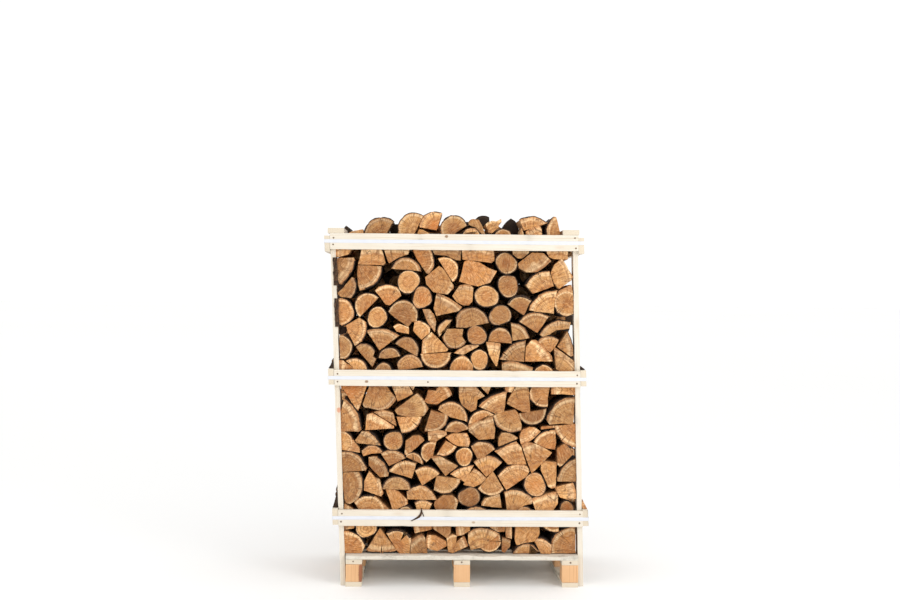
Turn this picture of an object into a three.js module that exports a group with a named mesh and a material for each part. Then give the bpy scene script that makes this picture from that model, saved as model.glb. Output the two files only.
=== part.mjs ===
// Firewood crate: split logs stacked three rows deep in a strapped softwood pallet crate.
// Millimetres, +Z up, front towards -Y. The origin is the middle of the crate's footprint,
// on the ground. The crate has racked in use, so everything above the pallet leans to -X.

import * as THREE from 'three';

// ---- Driving dimensions ----

const crateDepth = 800;        // outer face of the front rails to outer face of the back rails
const palletWidth = 1088;      // across the pallet, between the feet of the posts
const boardThickness = 22;     // pallet boards
const blockHeight = 81;
const gap = 0.3;               // between pieces that touch

const post = { width: 24, depth: 75, top: 1649 };
const lean = { left: 0.038, right: 0.0236 };        // sideways shift for each mm of height

const rail = { height: 75, thickness: 24 };
const sideRail = { height: 75, thickness: 26 };
const tiers = [
  { name: 'bottom', middle: 320.5, sideShift: 5 },
  { name: 'middle', middle: 974, sideShift: 5 },
  { name: 'top', middle: 1611.5, sideShift: -12 },
];
const strap = { width: 16, thickness: 0.9 };

const topBoard = { width: 76, thickness: 24, left: -602, right: 499 };

const runnerWidth = 76;
const blockLength = 100;
const deckBoards = { count: 6, width: 98 };

const logLength = 248;
const rowPitch = 250;
const middleRow = { bulge: 20, overhang: 48, overhangHeight: 42 };   // past the line of the posts

// Crest of the heap: share of the way from left to right, then height. The ends of the heap
// stop at shoulder height, under the top boards.
const shoulder = 1642;
const heapCrest = [
  [0.043, 1648], [0.065, 1668], [0.12, 1670], [0.2, 1732], [0.26, 1704], [0.34, 1751], [0.45, 1751],
  [0.56, 1736], [0.68, 1727], [0.77, 1720], [0.83, 1734], [0.94, 1732], [0.954, 1648],
];

// ---- Derived levels and faces ----

const halfDepth = crateDepth / 2;
const halfPallet = palletWidth / 2;
const blockFoot = boardThickness + gap;
const blockTop = blockFoot + blockHeight;
const stringerFoot = blockTop + gap;
const stringerTop = stringerFoot + boardThickness;
const deckFoot = stringerTop + gap;
const deckTop = deckFoot + boardThickness;
const postFront = halfDepth - rail.thickness - gap;

// Inner faces of the left and right posts at height z.
const leftFace = (z) => -(halfPallet + gap) - lean.left * z;
const rightFace = (z) => halfPallet + gap + lean.right * (deckTop - z);

// ---- Materials ----

const wood = (color, roughness = 0.8) => new THREE.MeshStandardMaterial({ color, roughness, metalness: 0 });
const spruce = wood('#efe2cb');
const deckWood = wood('#e6dcc8');
const blockWood = wood('#e0ae7c');
const logWood = wood('#cd9a68', 0.9);
const strapPlastic = new THREE.MeshStandardMaterial({ color: '#eef0f6', roughness: 0.35, metalness: 0 });

// ---- Helpers ----

const crate = new THREE.Group();

function add(name, geometry, material) {
  const mesh = new THREE.Mesh(geometry, material);
  mesh.name = name;
  crate.add(mesh);
  return mesh;
}

// A square-cut board or block between two opposite corners.
function addBlock(name, [x0, y0, z0], [x1, y1, z1], material) {
  const mesh = add(name, new THREE.BoxGeometry(x1 - x0, y1 - y0, z1 - z0), material);
  mesh.position.set((x0 + x1) / 2, (y0 + y1) / 2, (z0 + z1) / 2);
}

// A piece with the given outline in X and Z, running straight from yLow to yHigh.
function addPrism(name, outline, yLow, yHigh, material) {
  const shape = new THREE.Shape(outline.map(([x, z]) => new THREE.Vector2(x, z)));
  const geometry = new THREE.ExtrudeGeometry(shape, { depth: yHigh - yLow, bevelEnabled: false });
  geometry.rotateX(Math.PI / 2);
  geometry.translate(0, yHigh, 0);
  add(name, geometry, material);
}

// Outline between two sloping lines, x as a function of z, from one height to another.
function leaningOutline(left, right, zLow, zHigh) {
  return [[left(zLow), zLow], [right(zLow), zLow], [right(zHigh), zHigh], [left(zHigh), zHigh]];
}

// ---- Pallet: boards and blocks running front to back under boards running across ----

const runners = {
  left: [-halfPallet, -halfPallet + runnerWidth],
  middle: [-runnerWidth / 2, runnerWidth / 2],
  right: [halfPallet - runnerWidth, halfPallet],
};
const blockRows = {
  front: [-halfDepth, -halfDepth + blockLength],
  middle: [-blockLength / 2, blockLength / 2],
  back: [halfDepth - blockLength, halfDepth],
};

for (const [side, [x0, x1]] of Object.entries(runners)) {
  addBlock(`bottom_board_${side}`, [x0, -halfDepth, 0], [x1, halfDepth, boardThickness], spruce);
  for (const [row, [y0, y1]] of Object.entries(blockRows)) {
    addBlock(`block_${row}_${side}`, [x0, y0, blockFoot], [x1, y1, blockTop], blockWood);
  }
  addBlock(`stringer_${side}`, [x0, -halfDepth, stringerFoot], [x1, halfDepth, stringerTop], spruce);
}

const deckPitch = (crateDepth - deckBoards.width) / (deckBoards.count - 1);
for (let i = 0; i < deckBoards.count; i += 1) {
  const y0 = -halfDepth + i * deckPitch;
  addBlock(`deck_board_${i + 1}`, [-halfPallet, y0, deckFoot],
    [halfPallet, y0 + deckBoards.width, deckTop], deckWood);
}

// ---- Posts, nailed to the sides of the pallet and standing on the ground ----

const leftOuterFace = (z) => leftFace(z) - post.width;
const rightOuterFace = (z) => rightFace(z) + post.width;
const depthBands = {
  front: [-postFront, -postFront + post.depth],
  back: [postFront - post.depth, postFront],
};

for (const [end, [y0, y1]] of Object.entries(depthBands)) {
  addPrism(`post_${end}_left`, leaningOutline(leftOuterFace, leftFace, 0, post.top), y0, y1, spruce);
  addPrism(`post_${end}_right`, leaningOutline(rightFace, rightOuterFace, 0, post.top), y0, y1, spruce);
}

// ---- Three tiers of rails, each with a strap pulled round it ----

const leftRailInner = (z) => leftOuterFace(z) - gap;
const leftRailOuter = (z) => leftRailInner(z) - sideRail.thickness;
const rightRailInner = (z) => rightOuterFace(z) + gap;
const rightRailOuter = (z) => rightRailInner(z) + sideRail.thickness;

// A flat closed band lying round the tier's rails, with its inside edge clear of the leaning sides.
function addStrap(name, middle) {
  const foot = middle - strap.width / 2;
  const head = middle + strap.width / 2;
  const inner = { left: leftRailOuter(head) - gap, right: rightRailOuter(foot) + gap, y: halfDepth + gap };
  const rectangle = (path, out) => {
    path.moveTo(inner.left - out, -inner.y - out);
    path.lineTo(inner.right + out, -inner.y - out);
    path.lineTo(inner.right + out, inner.y + out);
    path.lineTo(inner.left - out, inner.y + out);
    path.closePath();
    return path;
  };
  const band = rectangle(new THREE.Shape(), strap.thickness);
  band.holes.push(rectangle(new THREE.Path(), 0));
  const geometry = new THREE.ExtrudeGeometry(band, { depth: strap.width, bevelEnabled: false });
  geometry.translate(0, 0, foot);
  add(name, geometry, strapPlastic);
}

for (const tier of tiers) {
  const foot = tier.middle - rail.height / 2;
  const head = tier.middle + rail.height / 2;
  const ends = leaningOutline(leftOuterFace, rightOuterFace, foot, head);
  addPrism(`rail_front_${tier.name}`, ends, -halfDepth, -halfDepth + rail.thickness, spruce);
  addPrism(`rail_back_${tier.name}`, ends, halfDepth - rail.thickness, halfDepth, spruce);

  const sideFoot = tier.middle + tier.sideShift - sideRail.height / 2;
  const sideHead = sideFoot + sideRail.height;
  addPrism(`rail_left_${tier.name}`,
    leaningOutline(leftRailOuter, leftRailInner, sideFoot, sideHead), -halfDepth, halfDepth, spruce);
  addPrism(`rail_right_${tier.name}`,
    leaningOutline(rightRailInner, rightRailOuter, sideFoot, sideHead), -halfDepth, halfDepth, spruce);

  addStrap(`strap_${tier.name}`, tier.middle);
}

// ---- Flat boards along the tops of the posts, which carry the next crate ----

for (const side of ['left', 'right']) {
  const x0 = topBoard[side] - topBoard.width / 2;
  const foot = post.top + gap;
  addBlock(`top_board_${side}`, [x0, -halfDepth, foot],
    [x0 + topBoard.width, halfDepth, foot + topBoard.thickness], spruce);
}

// ---- Logs: one solid for each row, reaching the crest of the heap ----

const heapFoot = deckTop + gap;
const heapLeft = (z) => leftFace(z) + gap;
const heapRight = (z) => rightFace(z) - gap;

// One end of the front or back row, from deck to shoulder, close against the posts.
const straightSide = (face) => [[face(heapFoot), heapFoot], [face(shoulder), shoulder]];

// One end of the middle row. It bellies out between the posts, and a log rests on each of the
// two lower side rails. The sign says which way is out.
function bellySide(face, out) {
  const points = [[face(heapFoot), heapFoot]];
  for (const tier of tiers.slice(0, 2)) {
    const ledge = tier.middle + tier.sideShift + sideRail.height / 2 + gap;
    const brow = ledge + middleRow.overhangHeight;
    points.push([face(ledge) + out * middleRow.bulge, ledge]);
    points.push([face(ledge) + out * middleRow.overhang, ledge]);
    points.push([face(brow) + out * middleRow.bulge, brow]);
  }
  points.push([face(shoulder) + out * middleRow.bulge, shoulder]);
  return points;
}

function addRow(name, middle, leftSide, rightSide) {
  const crest = heapCrest.map(([share, z]) => [leftFace(z) + share * (rightFace(z) - leftFace(z)), z]);
  const outline = [...rightSide, ...crest.reverse(), ...leftSide.reverse()];
  addPrism(`log_row_${name}`, outline, middle - logLength / 2, middle + logLength / 2, logWood);
}

addRow('front', -rowPitch, straightSide(heapLeft), straightSide(heapRight));
addRow('middle', 0, bellySide(heapLeft, -1), bellySide(heapRight, 1));
addRow('back', rowPitch, straightSide(heapLeft), straightSide(heapRight));

// ---- Origin: the middle of the footprint ----

const bounds = new THREE.Box3().setFromObject(crate);
crate.position.x = -(bounds.min.x + bounds.max.x) / 2;

export default crate;
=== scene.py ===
# %% [markdown]
# # A crate of firewood
#
# The real thing is a light softwood crate on a pallet, nailed together from sawn boards and
# pulled tight by three plastic straps. Split logs fill it, cut to a quarter of a metre and
# stacked three rows deep, so the front shows hundreds of sawn ends.
#
# The crate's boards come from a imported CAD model, which is loaded first and never moved. This
# lesson gives them sawn edges and timber, adds nails and straps, and then fills the crate.

# %% The frame
import math
import random

import bmesh
import bpy
from mathutils import Matrix, Vector, noise


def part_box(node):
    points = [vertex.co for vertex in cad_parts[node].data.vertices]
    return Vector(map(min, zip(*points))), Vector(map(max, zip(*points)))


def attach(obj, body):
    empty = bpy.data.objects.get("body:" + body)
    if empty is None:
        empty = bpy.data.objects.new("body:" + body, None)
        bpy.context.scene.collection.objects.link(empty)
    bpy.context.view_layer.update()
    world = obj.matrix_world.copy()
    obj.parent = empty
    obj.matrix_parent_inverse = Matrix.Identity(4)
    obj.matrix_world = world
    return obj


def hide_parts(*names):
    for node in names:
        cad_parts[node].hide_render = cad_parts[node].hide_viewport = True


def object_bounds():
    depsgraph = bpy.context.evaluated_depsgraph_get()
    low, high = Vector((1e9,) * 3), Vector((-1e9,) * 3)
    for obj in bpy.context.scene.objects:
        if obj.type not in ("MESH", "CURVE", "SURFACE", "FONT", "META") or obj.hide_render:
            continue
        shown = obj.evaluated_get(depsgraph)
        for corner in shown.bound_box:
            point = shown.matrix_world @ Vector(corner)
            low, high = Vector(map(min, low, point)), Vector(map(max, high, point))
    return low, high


MM = 0.001
CM = 0.01

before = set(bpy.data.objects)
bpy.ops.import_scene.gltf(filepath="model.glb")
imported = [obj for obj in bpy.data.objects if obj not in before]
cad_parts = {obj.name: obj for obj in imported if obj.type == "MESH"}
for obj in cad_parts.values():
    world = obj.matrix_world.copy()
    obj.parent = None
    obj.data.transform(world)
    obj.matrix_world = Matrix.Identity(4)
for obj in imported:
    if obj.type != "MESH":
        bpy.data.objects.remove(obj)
cad_low, cad_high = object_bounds()
print("CAD nodes:", len(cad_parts), "and size", [round(v, 3) for v in cad_high - cad_low])

# %% [markdown]
# ## Camera and light
#
# A product view is taken level, from the height of an adult's shoulder, with a normal lens. The
# camera stands a little left of the crate's middle and is turned to match. A hand-held camera is
# never quite upright, so it also rolls by half a degree.

# %% Camera
STRAP_THICKNESS = 0.9 * MM
crate_front = cad_low.y + STRAP_THICKNESS
pallet_middle = sum(v.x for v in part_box("deck_board_1")) / 2

EYE_HEIGHT = 1.341
DISTANCE = 5.841
TURN = math.radians(1.05)
ROLL = math.radians(0.47)
ASIDE = 0.0665

ahead = Vector((math.sin(TURN), math.cos(TURN), 0))
right = Vector((math.cos(TURN), -math.sin(TURN), 0))
foot = Vector((pallet_middle, crate_front, 0))
lens_right = right * math.cos(ROLL) + Vector((0, 0, math.sin(ROLL)))
lens_up = lens_right.cross(ahead)

camera = bpy.data.objects.new("camera", bpy.data.cameras.new("camera"))
camera.data.lens = 50
camera.data.sensor_width = 36
axes = Matrix((lens_right, lens_up, -ahead)).transposed().to_4x4()
camera.matrix_world = Matrix.Translation(foot - ahead * DISTANCE - right * ASIDE
                                         + Vector((0, 0, EYE_HEIGHT))) @ axes
bpy.context.scene.collection.objects.link(camera)
bpy.context.scene.camera = camera
print("camera at", [round(v, 3) for v in camera.location])

# %% [markdown]
# One helper adds a node to any tree, sets it up and links it. A value given as a node is linked
# from that node's first live output. Colours are written as sRGB hex, the way a paint chart
# gives them, and one function turns them into the linear numbers that a renderer works with.
#
# Every finish here is built the way a painter works: a ground colour, then coats over it, each
# showing through by its own share, and last a relief. So two more helpers lay the coats and join
# the result to the shader, and a third draws the noise out along the fibres, as all wood asks.

# %% Helpers for nodes and colours
def add_node(tree, kind, inputs=None, **settings):
    """Adds a node, sets its properties, then fills or links its inputs by name or number."""
    node = tree.nodes.new(kind)
    for name, value in settings.items():
        setattr(node, name, value)
    for key, value in (inputs or {}).items():
        if isinstance(key, int):
            socket = node.inputs[key]
        else:
            socket = next(s for s in node.inputs if s.enabled and s.name == key)
        if isinstance(value, bpy.types.Node):
            value = next(s for s in value.outputs if s.enabled)
        if isinstance(value, bpy.types.NodeSocket):
            tree.links.new(value, socket)
        else:
            socket.default_value = value
    return node


def srgb(code):
    """Linear RGBA from an sRGB hex value."""
    values = [int(code[i:i + 2], 16) / 255 for i in (1, 3, 5)]
    return tuple(v / 12.92 if v <= 0.04045 else ((v + 0.055) / 1.055) ** 2.4 for v in values) + (1.0,)


def new_material(name, **shader_values):
    """A material with one Principled shader, its even values set on the shader's own sockets."""
    material = bpy.data.materials.new(name)
    material.use_nodes = True
    tree = material.node_tree
    for socket, value in shader_values.items():
        tree.nodes["Principled BSDF"].inputs[socket].default_value = value
    return material, tree


def lay_coats(tree, colour, *coats):
    """Lays colours over a ground. Each coat is its share, as a node or socket, and its colour."""
    for share, code in coats:
        colour = add_node(tree, "ShaderNodeMix", {"Factor": share, "A": colour, "B": srgb(code)},
                          data_type="RGBA").outputs[2]
    return colour


def join_finish(tree, colour, height=None, strength=0.0, depth=0.0):
    """Gives the shader its colour, and a relief of a given strength and depth in metres."""
    shader = tree.nodes["Principled BSDF"]
    tree.links.new(colour, shader.inputs["Base Color"])
    if height:
        bump = add_node(tree, "ShaderNodeBump", {"Height": height, "Strength": strength,
                                                 "Distance": depth})
        tree.links.new(bump.outputs["Normal"], shader.inputs["Normal"])


def stretched_noise(tree, place, stretch, **inputs):
    """Noise with its own scale along each axis, in features to the metre."""
    scaled = add_node(tree, "ShaderNodeVectorMath", {0: place, 1: stretch}, operation="MULTIPLY")
    return add_node(tree, "ShaderNodeTexNoise", {"Vector": scaled, "Scale": 1.0, **inputs})


# %% [markdown]
# The crate stands on plain white paper in soft light. A white sky lights it evenly, and a large
# lamp at the front right adds direction. A weaker one stands low at the left, so that it keeps the
# shaded sides open and reaches under the deck.

# %% Floor and lamps
paper, paper_tree = new_material("white_paper", Roughness=0.9)
fibre = add_node(paper_tree, "ShaderNodeTexNoise", {"Scale": 40.0, "Detail": 4.0})
join_finish(paper_tree, lay_coats(paper_tree, srgb("#f8f8f7"), (fibre, "#fcfcfb")))

bpy.ops.mesh.primitive_circle_add(vertices=96, radius=400, fill_type="NGON")
floor = bpy.context.object
floor.name = "floor"
floor.data.materials.append(paper)

world = bpy.data.worlds.new("white_sky")
world.use_nodes = True
world.node_tree.nodes["Background"].inputs["Color"].default_value = (1, 1, 1, 1)
world.node_tree.nodes["Background"].inputs["Strength"].default_value = 1.05
bpy.context.scene.world = world
bpy.context.scene.view_settings.view_transform = "Standard"


def add_lamp(name, place, target, size, power):
    """A square soft box at a place, facing a target."""
    lamp = bpy.data.lights.new(name, "AREA")
    lamp.size = size
    lamp.energy = power
    lamp_object = bpy.data.objects.new(name, lamp)
    aim = (Vector(target) - Vector(place)).to_track_quat("-Z", "Y").to_matrix().to_4x4()
    lamp_object.matrix_world = Matrix.Translation(place) @ aim
    bpy.context.scene.collection.objects.link(lamp_object)


add_lamp("lamp_right", (2.6, -3.6, 2.2), (0, -0.3, 0.8), size=1.6, power=55)
add_lamp("lamp_left", (-2.6, -4.0, 0.7), (0, 0, 0.2), size=2.2, power=30)
print("stage ready: white floor, white sky, two soft boxes")

# %% [markdown]
# ## Timber finishes
#
# The boards are spruce, sawn and left rough. Spruce is pale cream, with darker lines of late wood
# along the board every 2 to 4 mm, a few brown knots and the saw's faint ripple across the face.
# A grain map on every board gives the shader metres along the board and metres across it, so one
# material fits boards that run in any direction.

# %% Sawn spruce
def sawn_timber(name, pale, deep, line, grain_mm=3.2, knots=1.0, soil=0.0):
    """Rough sawn softwood on the grain map: late wood lines, knots, saw ripple and soiling."""
    material, tree = new_material(name, Roughness=0.78)
    grain_map = add_node(tree, "ShaderNodeUVMap", uv_map="grain")
    piece = add_node(tree, "ShaderNodeAttribute", attribute_name="piece_seed")
    seed = add_node(tree, "ShaderNodeCombineXYZ", {"Z": piece.outputs["Fac"]})
    place = add_node(tree, "ShaderNodeVectorMath", {0: grain_map, 1: seed}, operation="ADD")

    # Knots every 350 mm or so push the grain aside as they pass.
    knot_place = add_node(tree, "ShaderNodeVectorMath", {0: place, 1: (2.6, 9.0, 1.0)},
                          operation="MULTIPLY")
    knot_cells = add_node(tree, "ShaderNodeTexVoronoi", {"Vector": knot_place, "Scale": 1.0})
    knot, swirl = (add_node(tree, "ShaderNodeMapRange", {
        "Value": knot_cells, "From Min": 0.05, "From Max": far, "To Min": most, "To Max": 0.0},
        interpolation_type="SMOOTHSTEP") for far, most in ((0.16, knots), (0.5, 0.012 * knots)))

    wander = add_node(tree, "ShaderNodeTexNoise", {"Vector": place, "Scale": 2.2, "Detail": 2.0})
    drift = add_node(tree, "ShaderNodeMath", {0: wander, 1: 0.035, 2: swirl}, operation="MULTIPLY_ADD")
    shifted = add_node(tree, "ShaderNodeCombineXYZ", {"Y": drift})
    grain_place = add_node(tree, "ShaderNodeVectorMath", {0: place, 1: shifted}, operation="ADD")
    late_wood = stretched_noise(tree, grain_place, (1.5, 1000 / grain_mm, 1.0), Detail=3.0,
                                Roughness=0.6)
    lines = add_node(tree, "ShaderNodeMapRange", {
        "Value": late_wood, "From Min": 0.5, "From Max": 0.75, "To Max": 0.55},
        interpolation_type="SMOOTHSTEP")
    cloud = add_node(tree, "ShaderNodeTexNoise", {"Vector": place, "Scale": 7.0, "Detail": 3.0})

    # Grey soiling gathers in patches, with small dark specks in it.
    patch = add_node(tree, "ShaderNodeTexNoise", {"Vector": place, "Scale": 16.0, "Detail": 6.0,
                                                  "Roughness": 0.7})
    soiled = add_node(tree, "ShaderNodeMapRange", {
        "Value": patch, "From Min": 0.62 - 0.22 * soil, "From Max": 0.86 - 0.2 * soil,
        "To Max": 0.35 + 0.5 * soil}, interpolation_type="SMOOTHSTEP")
    colour = lay_coats(tree, srgb(pale), (cloud, deep), (lines, line), (knot, "#b98a5c"),
                       (soiled, "#8d8678"))

    # The saw leaves ripples across the board, 5 mm apart, under the finer grain.
    ripple = stretched_noise(tree, place, (200.0, 6.0, 1.0))
    relief = add_node(tree, "ShaderNodeMath", {0: ripple, 1: late_wood}, operation="ADD")
    join_finish(tree, colour, relief, strength=0.35, depth=0.8 * MM)
    return material


spruce = sawn_timber("sawn_spruce", pale="#e1dacd", deep="#d6cbb9", line="#bda27c")
deck_spruce = sawn_timber("soiled_spruce", pale="#dfd9cc", deep="#cdc5b6", line="#a6967c", soil=0.6)
block_wood = sawn_timber("resinous_pine", pale="#e2b98c", deep="#d2a070", line="#a8683a",
                         grain_mm=6.0, knots=0.0)
print("timber finishes:", spruce.name, deck_spruce.name, block_wood.name)

# %% [markdown]
# A few marks have a place of their own: the knots that show on the front, a resin stain on the
# left post, the dark heartwood at one side of the left front block and a dark grey patch low on the
# middle bottom board, where it meets the floor. Each is a soft-edged patch laid over its finish,
# given by its colour, strength, middle in the crate and reach each way.

# %% Stains
def add_stains(material, stains):
    """Lays patches over a finish: colour, strength, middle in metres, reach in millimetres."""
    tree = material.node_tree
    colour = tree.nodes["Principled BSDF"].inputs["Base Color"].links[0].from_socket
    spot = add_node(tree, "ShaderNodeTexCoord").outputs["Object"]
    ragged = add_node(tree, "ShaderNodeTexNoise", {"Vector": spot, "Scale": 120.0, "Detail": 3.0})
    for code, strength, middle, reach_mm in stains:
        offset = add_node(tree, "ShaderNodeVectorMath", {0: spot, 1: middle}, operation="SUBTRACT")
        scaled = add_node(tree, "ShaderNodeVectorMath", {0: offset, 1: [1000 / v for v in reach_mm]},
                          operation="MULTIPLY")
        far = add_node(tree, "ShaderNodeVectorMath", {0: scaled}, operation="LENGTH")
        uneven = add_node(tree, "ShaderNodeMath", {0: ragged, 1: 0.6, 2: far}, operation="MULTIPLY_ADD")
        share = add_node(tree, "ShaderNodeMapRange", {
            "Value": uneven, "From Min": 0.9, "From Max": 1.45, "To Min": strength, "To Max": 0.0},
            interpolation_type="SMOOTHSTEP")
        colour = lay_coats(tree, colour, (share, code))
    join_finish(tree, colour)


FRONT = -0.4
add_stains(spruce, [
    ("#8d6a48", 0.9, (-0.0526, FRONT, 1.6375), (9, 20, 7)),
    ("#a98a68", 0.8, (-0.4532, FRONT, 0.9759), (5, 20, 5)),
    ("#8f6f50", 0.9, (-0.4204, FRONT, 0.9575), (9, 20, 7)),
    ("#a98a68", 0.7, (0.0846, FRONT, 0.302), (9, 20, 6)),
    ("#d08a68", 0.8, (-0.5497, FRONT + 0.02, 0.8213), (11, 30, 14)),
    ("#4b473f", 0.95, (0.0327, FRONT, 0.005), (70, 12, 13)),
])
add_stains(block_wood, [("#83452a", 0.85, (-0.4388, FRONT, 0.062), (13, 60, 75))])

# %% [markdown]
# Where a board is cut across, the grain shows as arcs of growth rings around a heart that is
# usually off the board. End grain drinks in dirt, so it is a tone darker than the faces.

# %% Cut ends of boards
def timber_end(name, pale, ring):
    """End grain: arcs of growth rings 4 mm apart, a little darker than the face."""
    material, tree = new_material(name, Roughness=0.85)
    grain_map = add_node(tree, "ShaderNodeUVMap", uv_map="grain")
    heart = add_node(tree, "ShaderNodeVectorMath", {0: grain_map, 1: (0.02, 0.07, 0.0)},
                     operation="ADD")
    reach = add_node(tree, "ShaderNodeVectorMath", {0: heart}, operation="LENGTH")
    uneven = add_node(tree, "ShaderNodeTexNoise", {"Vector": grain_map, "Scale": 60.0})
    phase = add_node(tree, "ShaderNodeMath", {0: reach, 1: 2 * math.pi / (4 * MM), 2: uneven},
                     operation="MULTIPLY_ADD")
    wave = add_node(tree, "ShaderNodeMath", {0: phase}, operation="SINE")
    share = add_node(tree, "ShaderNodeMapRange", {"Value": wave, "From Min": -1.0, "To Max": 0.7})
    join_finish(tree, lay_coats(tree, srgb(pale), (share, ring)), uneven, strength=0.4, depth=MM)
    return material


spruce_end = timber_end("spruce_end_grain", pale="#dacfbe", ring="#c8b798")
block_end = timber_end("pine_end_grain", pale="#dcae78", ring="#b5773f")
print("end grain finishes:", spruce_end.name, block_end.name)

# %% [markdown]
# ## The boards
#
# A CAD board is a plain prism. A real one has soft arrises, because the saw and the trip to the
# customer break the sharp corners. So each board is rebuilt from a copy of its CAD node: the
# copy's edges are bevelled, it is sliced across every few centimetres, and smooth noise then
# moves the new points by half a millimetre, and chips the arrises by up to three. The grain map
# is laid out at the same time from the board's longest direction. Each finished mesh is then made
# a piece that rides with the crate, in the place of its CAD node.

# %% A worn board from a CAD prism
ARRIS = 1.2 * MM
SLICE = 30 * MM
SPREAD = {"x": 0, "y": 1, "z": 2}

# Vector noise starts from the clock unless it has a seed. With one, each run gives the same boards.
noise.seed_set(7)


def grain_layout(bm, long_axis, seed):
    """Metres along and across the board for each face corner. Cut ends take the second slot."""
    layer = bm.loops.layers.uv.new("grain")
    for face in bm.faces:
        facing = max(range(3), key=lambda i: abs(face.normal[i]))
        across = [i for i in range(3) if i not in (long_axis, facing)]
        is_end = facing == long_axis
        face.material_index = 1 if is_end else 0
        for loop in face.loops:
            co = loop.vert.co
            if is_end:
                loop[layer].uv = (co[across[0]], co[across[1]])
            else:
                loop[layer].uv = (co[long_axis], co[across[0]] + 0.31 * facing + seed)


def wear(bm, long_axis, seed, chip):
    """Moves the points by smooth noise, and knocks back the arrises in places."""
    for vert in bm.verts:
        place = vert.co + Vector((seed, 0, 0))
        shift = noise.noise_vector(place * 14) * 0.5 * MM
        shift[long_axis] = 0
        sharp = sum(1 for f in vert.link_faces if f.calc_area() < ARRIS * SLICE * 1.2)
        if sharp > 1:
            dent = max(0.0, noise.noise(place * 38 + Vector((7, 3, 1)))) ** 2
            shift -= vert.normal * dent * chip
        vert.co += shift


def add_piece(mesh, node=None):
    """Makes a mesh a piece of the crate, in the place of a CAD node if one is given."""
    piece = bpy.data.objects.new(mesh.name, mesh)
    bpy.context.scene.collection.objects.link(piece)
    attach(piece, "root")
    if node:
        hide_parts(node)
    return piece


def slice_across(bm, place, direction):
    """Cuts a ring of edges round the mesh where a plane meets it."""
    bmesh.ops.bisect_plane(bm, geom=bm.verts[:] + bm.edges[:] + bm.faces[:], plane_co=place,
                           plane_no=direction)


def rebuild_board(node, long_axis, finish, end_finish, chip=9 * MM, shape=None):
    """A worn board that stands for one CAD node. The shape function may bend it further."""
    long_axis = SPREAD[long_axis]
    low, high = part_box(node)
    seed = round(random.Random(node).uniform(0, 40), 3)
    bm = bmesh.new()
    bm.from_mesh(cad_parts[node].data)
    bmesh.ops.remove_doubles(bm, verts=bm.verts, dist=1e-5)
    bmesh.ops.dissolve_limit(bm, angle_limit=math.radians(1), verts=bm.verts, edges=bm.edges)
    bmesh.ops.bevel(bm, geom=bm.edges, offset=ARRIS, segments=2, profile=0.6, affect="EDGES")
    direction = Vector((0, 0, 0))
    direction[long_axis] = 1
    at = low[long_axis] + SLICE
    while at < high[long_axis] - SLICE / 2:
        slice_across(bm, direction * at, direction)
        at += SLICE
    if shape:
        shape(bm, low, high)
    bm.normal_update()
    wear(bm, long_axis, seed, chip)
    bm.normal_update()
    grain_layout(bm, long_axis, seed)
    mesh = bpy.data.meshes.new(node + "_timber")
    bm.to_mesh(mesh)
    bm.free()
    mesh.materials.append(finish)
    mesh.materials.append(end_finish)
    mesh.shade_smooth()
    mesh.set_sharp_from_angle(angle=math.radians(35))
    mark = mesh.attributes.new("piece_seed", "FLOAT", "POINT")
    mark.data.foreach_set("value", [seed] * len(mesh.vertices))
    return add_piece(mesh, node)


# %% Rails, posts and top boards
TIERS = ("bottom", "middle", "top")
boards = []
for tier in TIERS:
    boards += [(f"rail_{face}_{tier}", "x") for face in ("front", "back")]
    boards += [(f"rail_{side}_{tier}", "y") for side in ("left", "right")]
for side in ("left", "right"):
    boards += [(f"post_{face}_{side}", "z") for face in ("front", "back")]
    boards.append((f"top_board_{side}", "y"))
for node, long_axis in boards:
    rebuild_board(node, long_axis, spruce, spruce_end)
print("crate boards:", len(boards))

# %% [markdown]
# The pallet is rougher. Its front deck board was sawn from the outside of the trunk, so its upper
# front arris follows the tree and not the saw, and waves up and down.

# %% Pallet
def waney_edge(bm, low, high):
    """Lets the upper front arris of a deck board rise and dip by a few millimetres."""
    middle = (low.z + high.z) / 2
    slice_across(bm, (0, low.y + 20 * MM, 0), (0, 1, 0))
    for vert in bm.verts:
        if vert.co.y < low.y + 12 * MM and vert.co.z > middle:
            wave = noise.noise(Vector((vert.co.x * 9, 0.4, 0))) * 6
            ripple = noise.noise(Vector((vert.co.x * 30, 2.4, 0))) * 4
            vert.co.z += (wave + ripple - 3) * MM
            vert.co.y += max(0.0, wave) * 0.4 * MM


pallet = []
for place in ("left", "middle", "right"):
    for node in (f"bottom_board_{place}", f"stringer_{place}"):
        pallet.append(rebuild_board(node, "y", spruce, spruce_end))
    for row in ("front", "middle", "back"):
        pallet.append(rebuild_board(f"block_{row}_{place}", "z", block_wood, block_end,
                                    chip=5 * MM))
for number in range(1, 7):
    pallet.append(rebuild_board(f"deck_board_{number}", "x", deck_spruce, spruce_end,
                                shape=waney_edge if number == 1 else None))
print("pallet pieces:", len(pallet))

# %% [markdown]
# ## The logs
#
# Each log is a piece of birch trunk, sawn to 248 mm and split with an axe. A thin one stays
# round. A thicker one is split in two, or in wedges that keep bark on one side only. The way the
# ends lie is what gives this crate its face, so the ends are set out one by one, like a dry stone
# wall, on a sheet whose X runs in centimetres from the left post to the right one and whose Z
# runs up from the deck. The posts lean, so the sheet leans with them.
#
# A line on the sheet is one log: a letter for its colour, how far its bark bulges past the
# straight line between its last and first corners, and the corners. A round branch has an r, its
# radius and its middle. A capital letter has thick bark. The letters are n for plain birch,
# c cream, o orange, b brown, g grey brown, p pinkish and k for a log whose split and sawn faces
# are painted nearly black, as painted shade deep in the stack.

# %% The sheet of log ends
SHEET_WIDTH = 109.0

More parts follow.
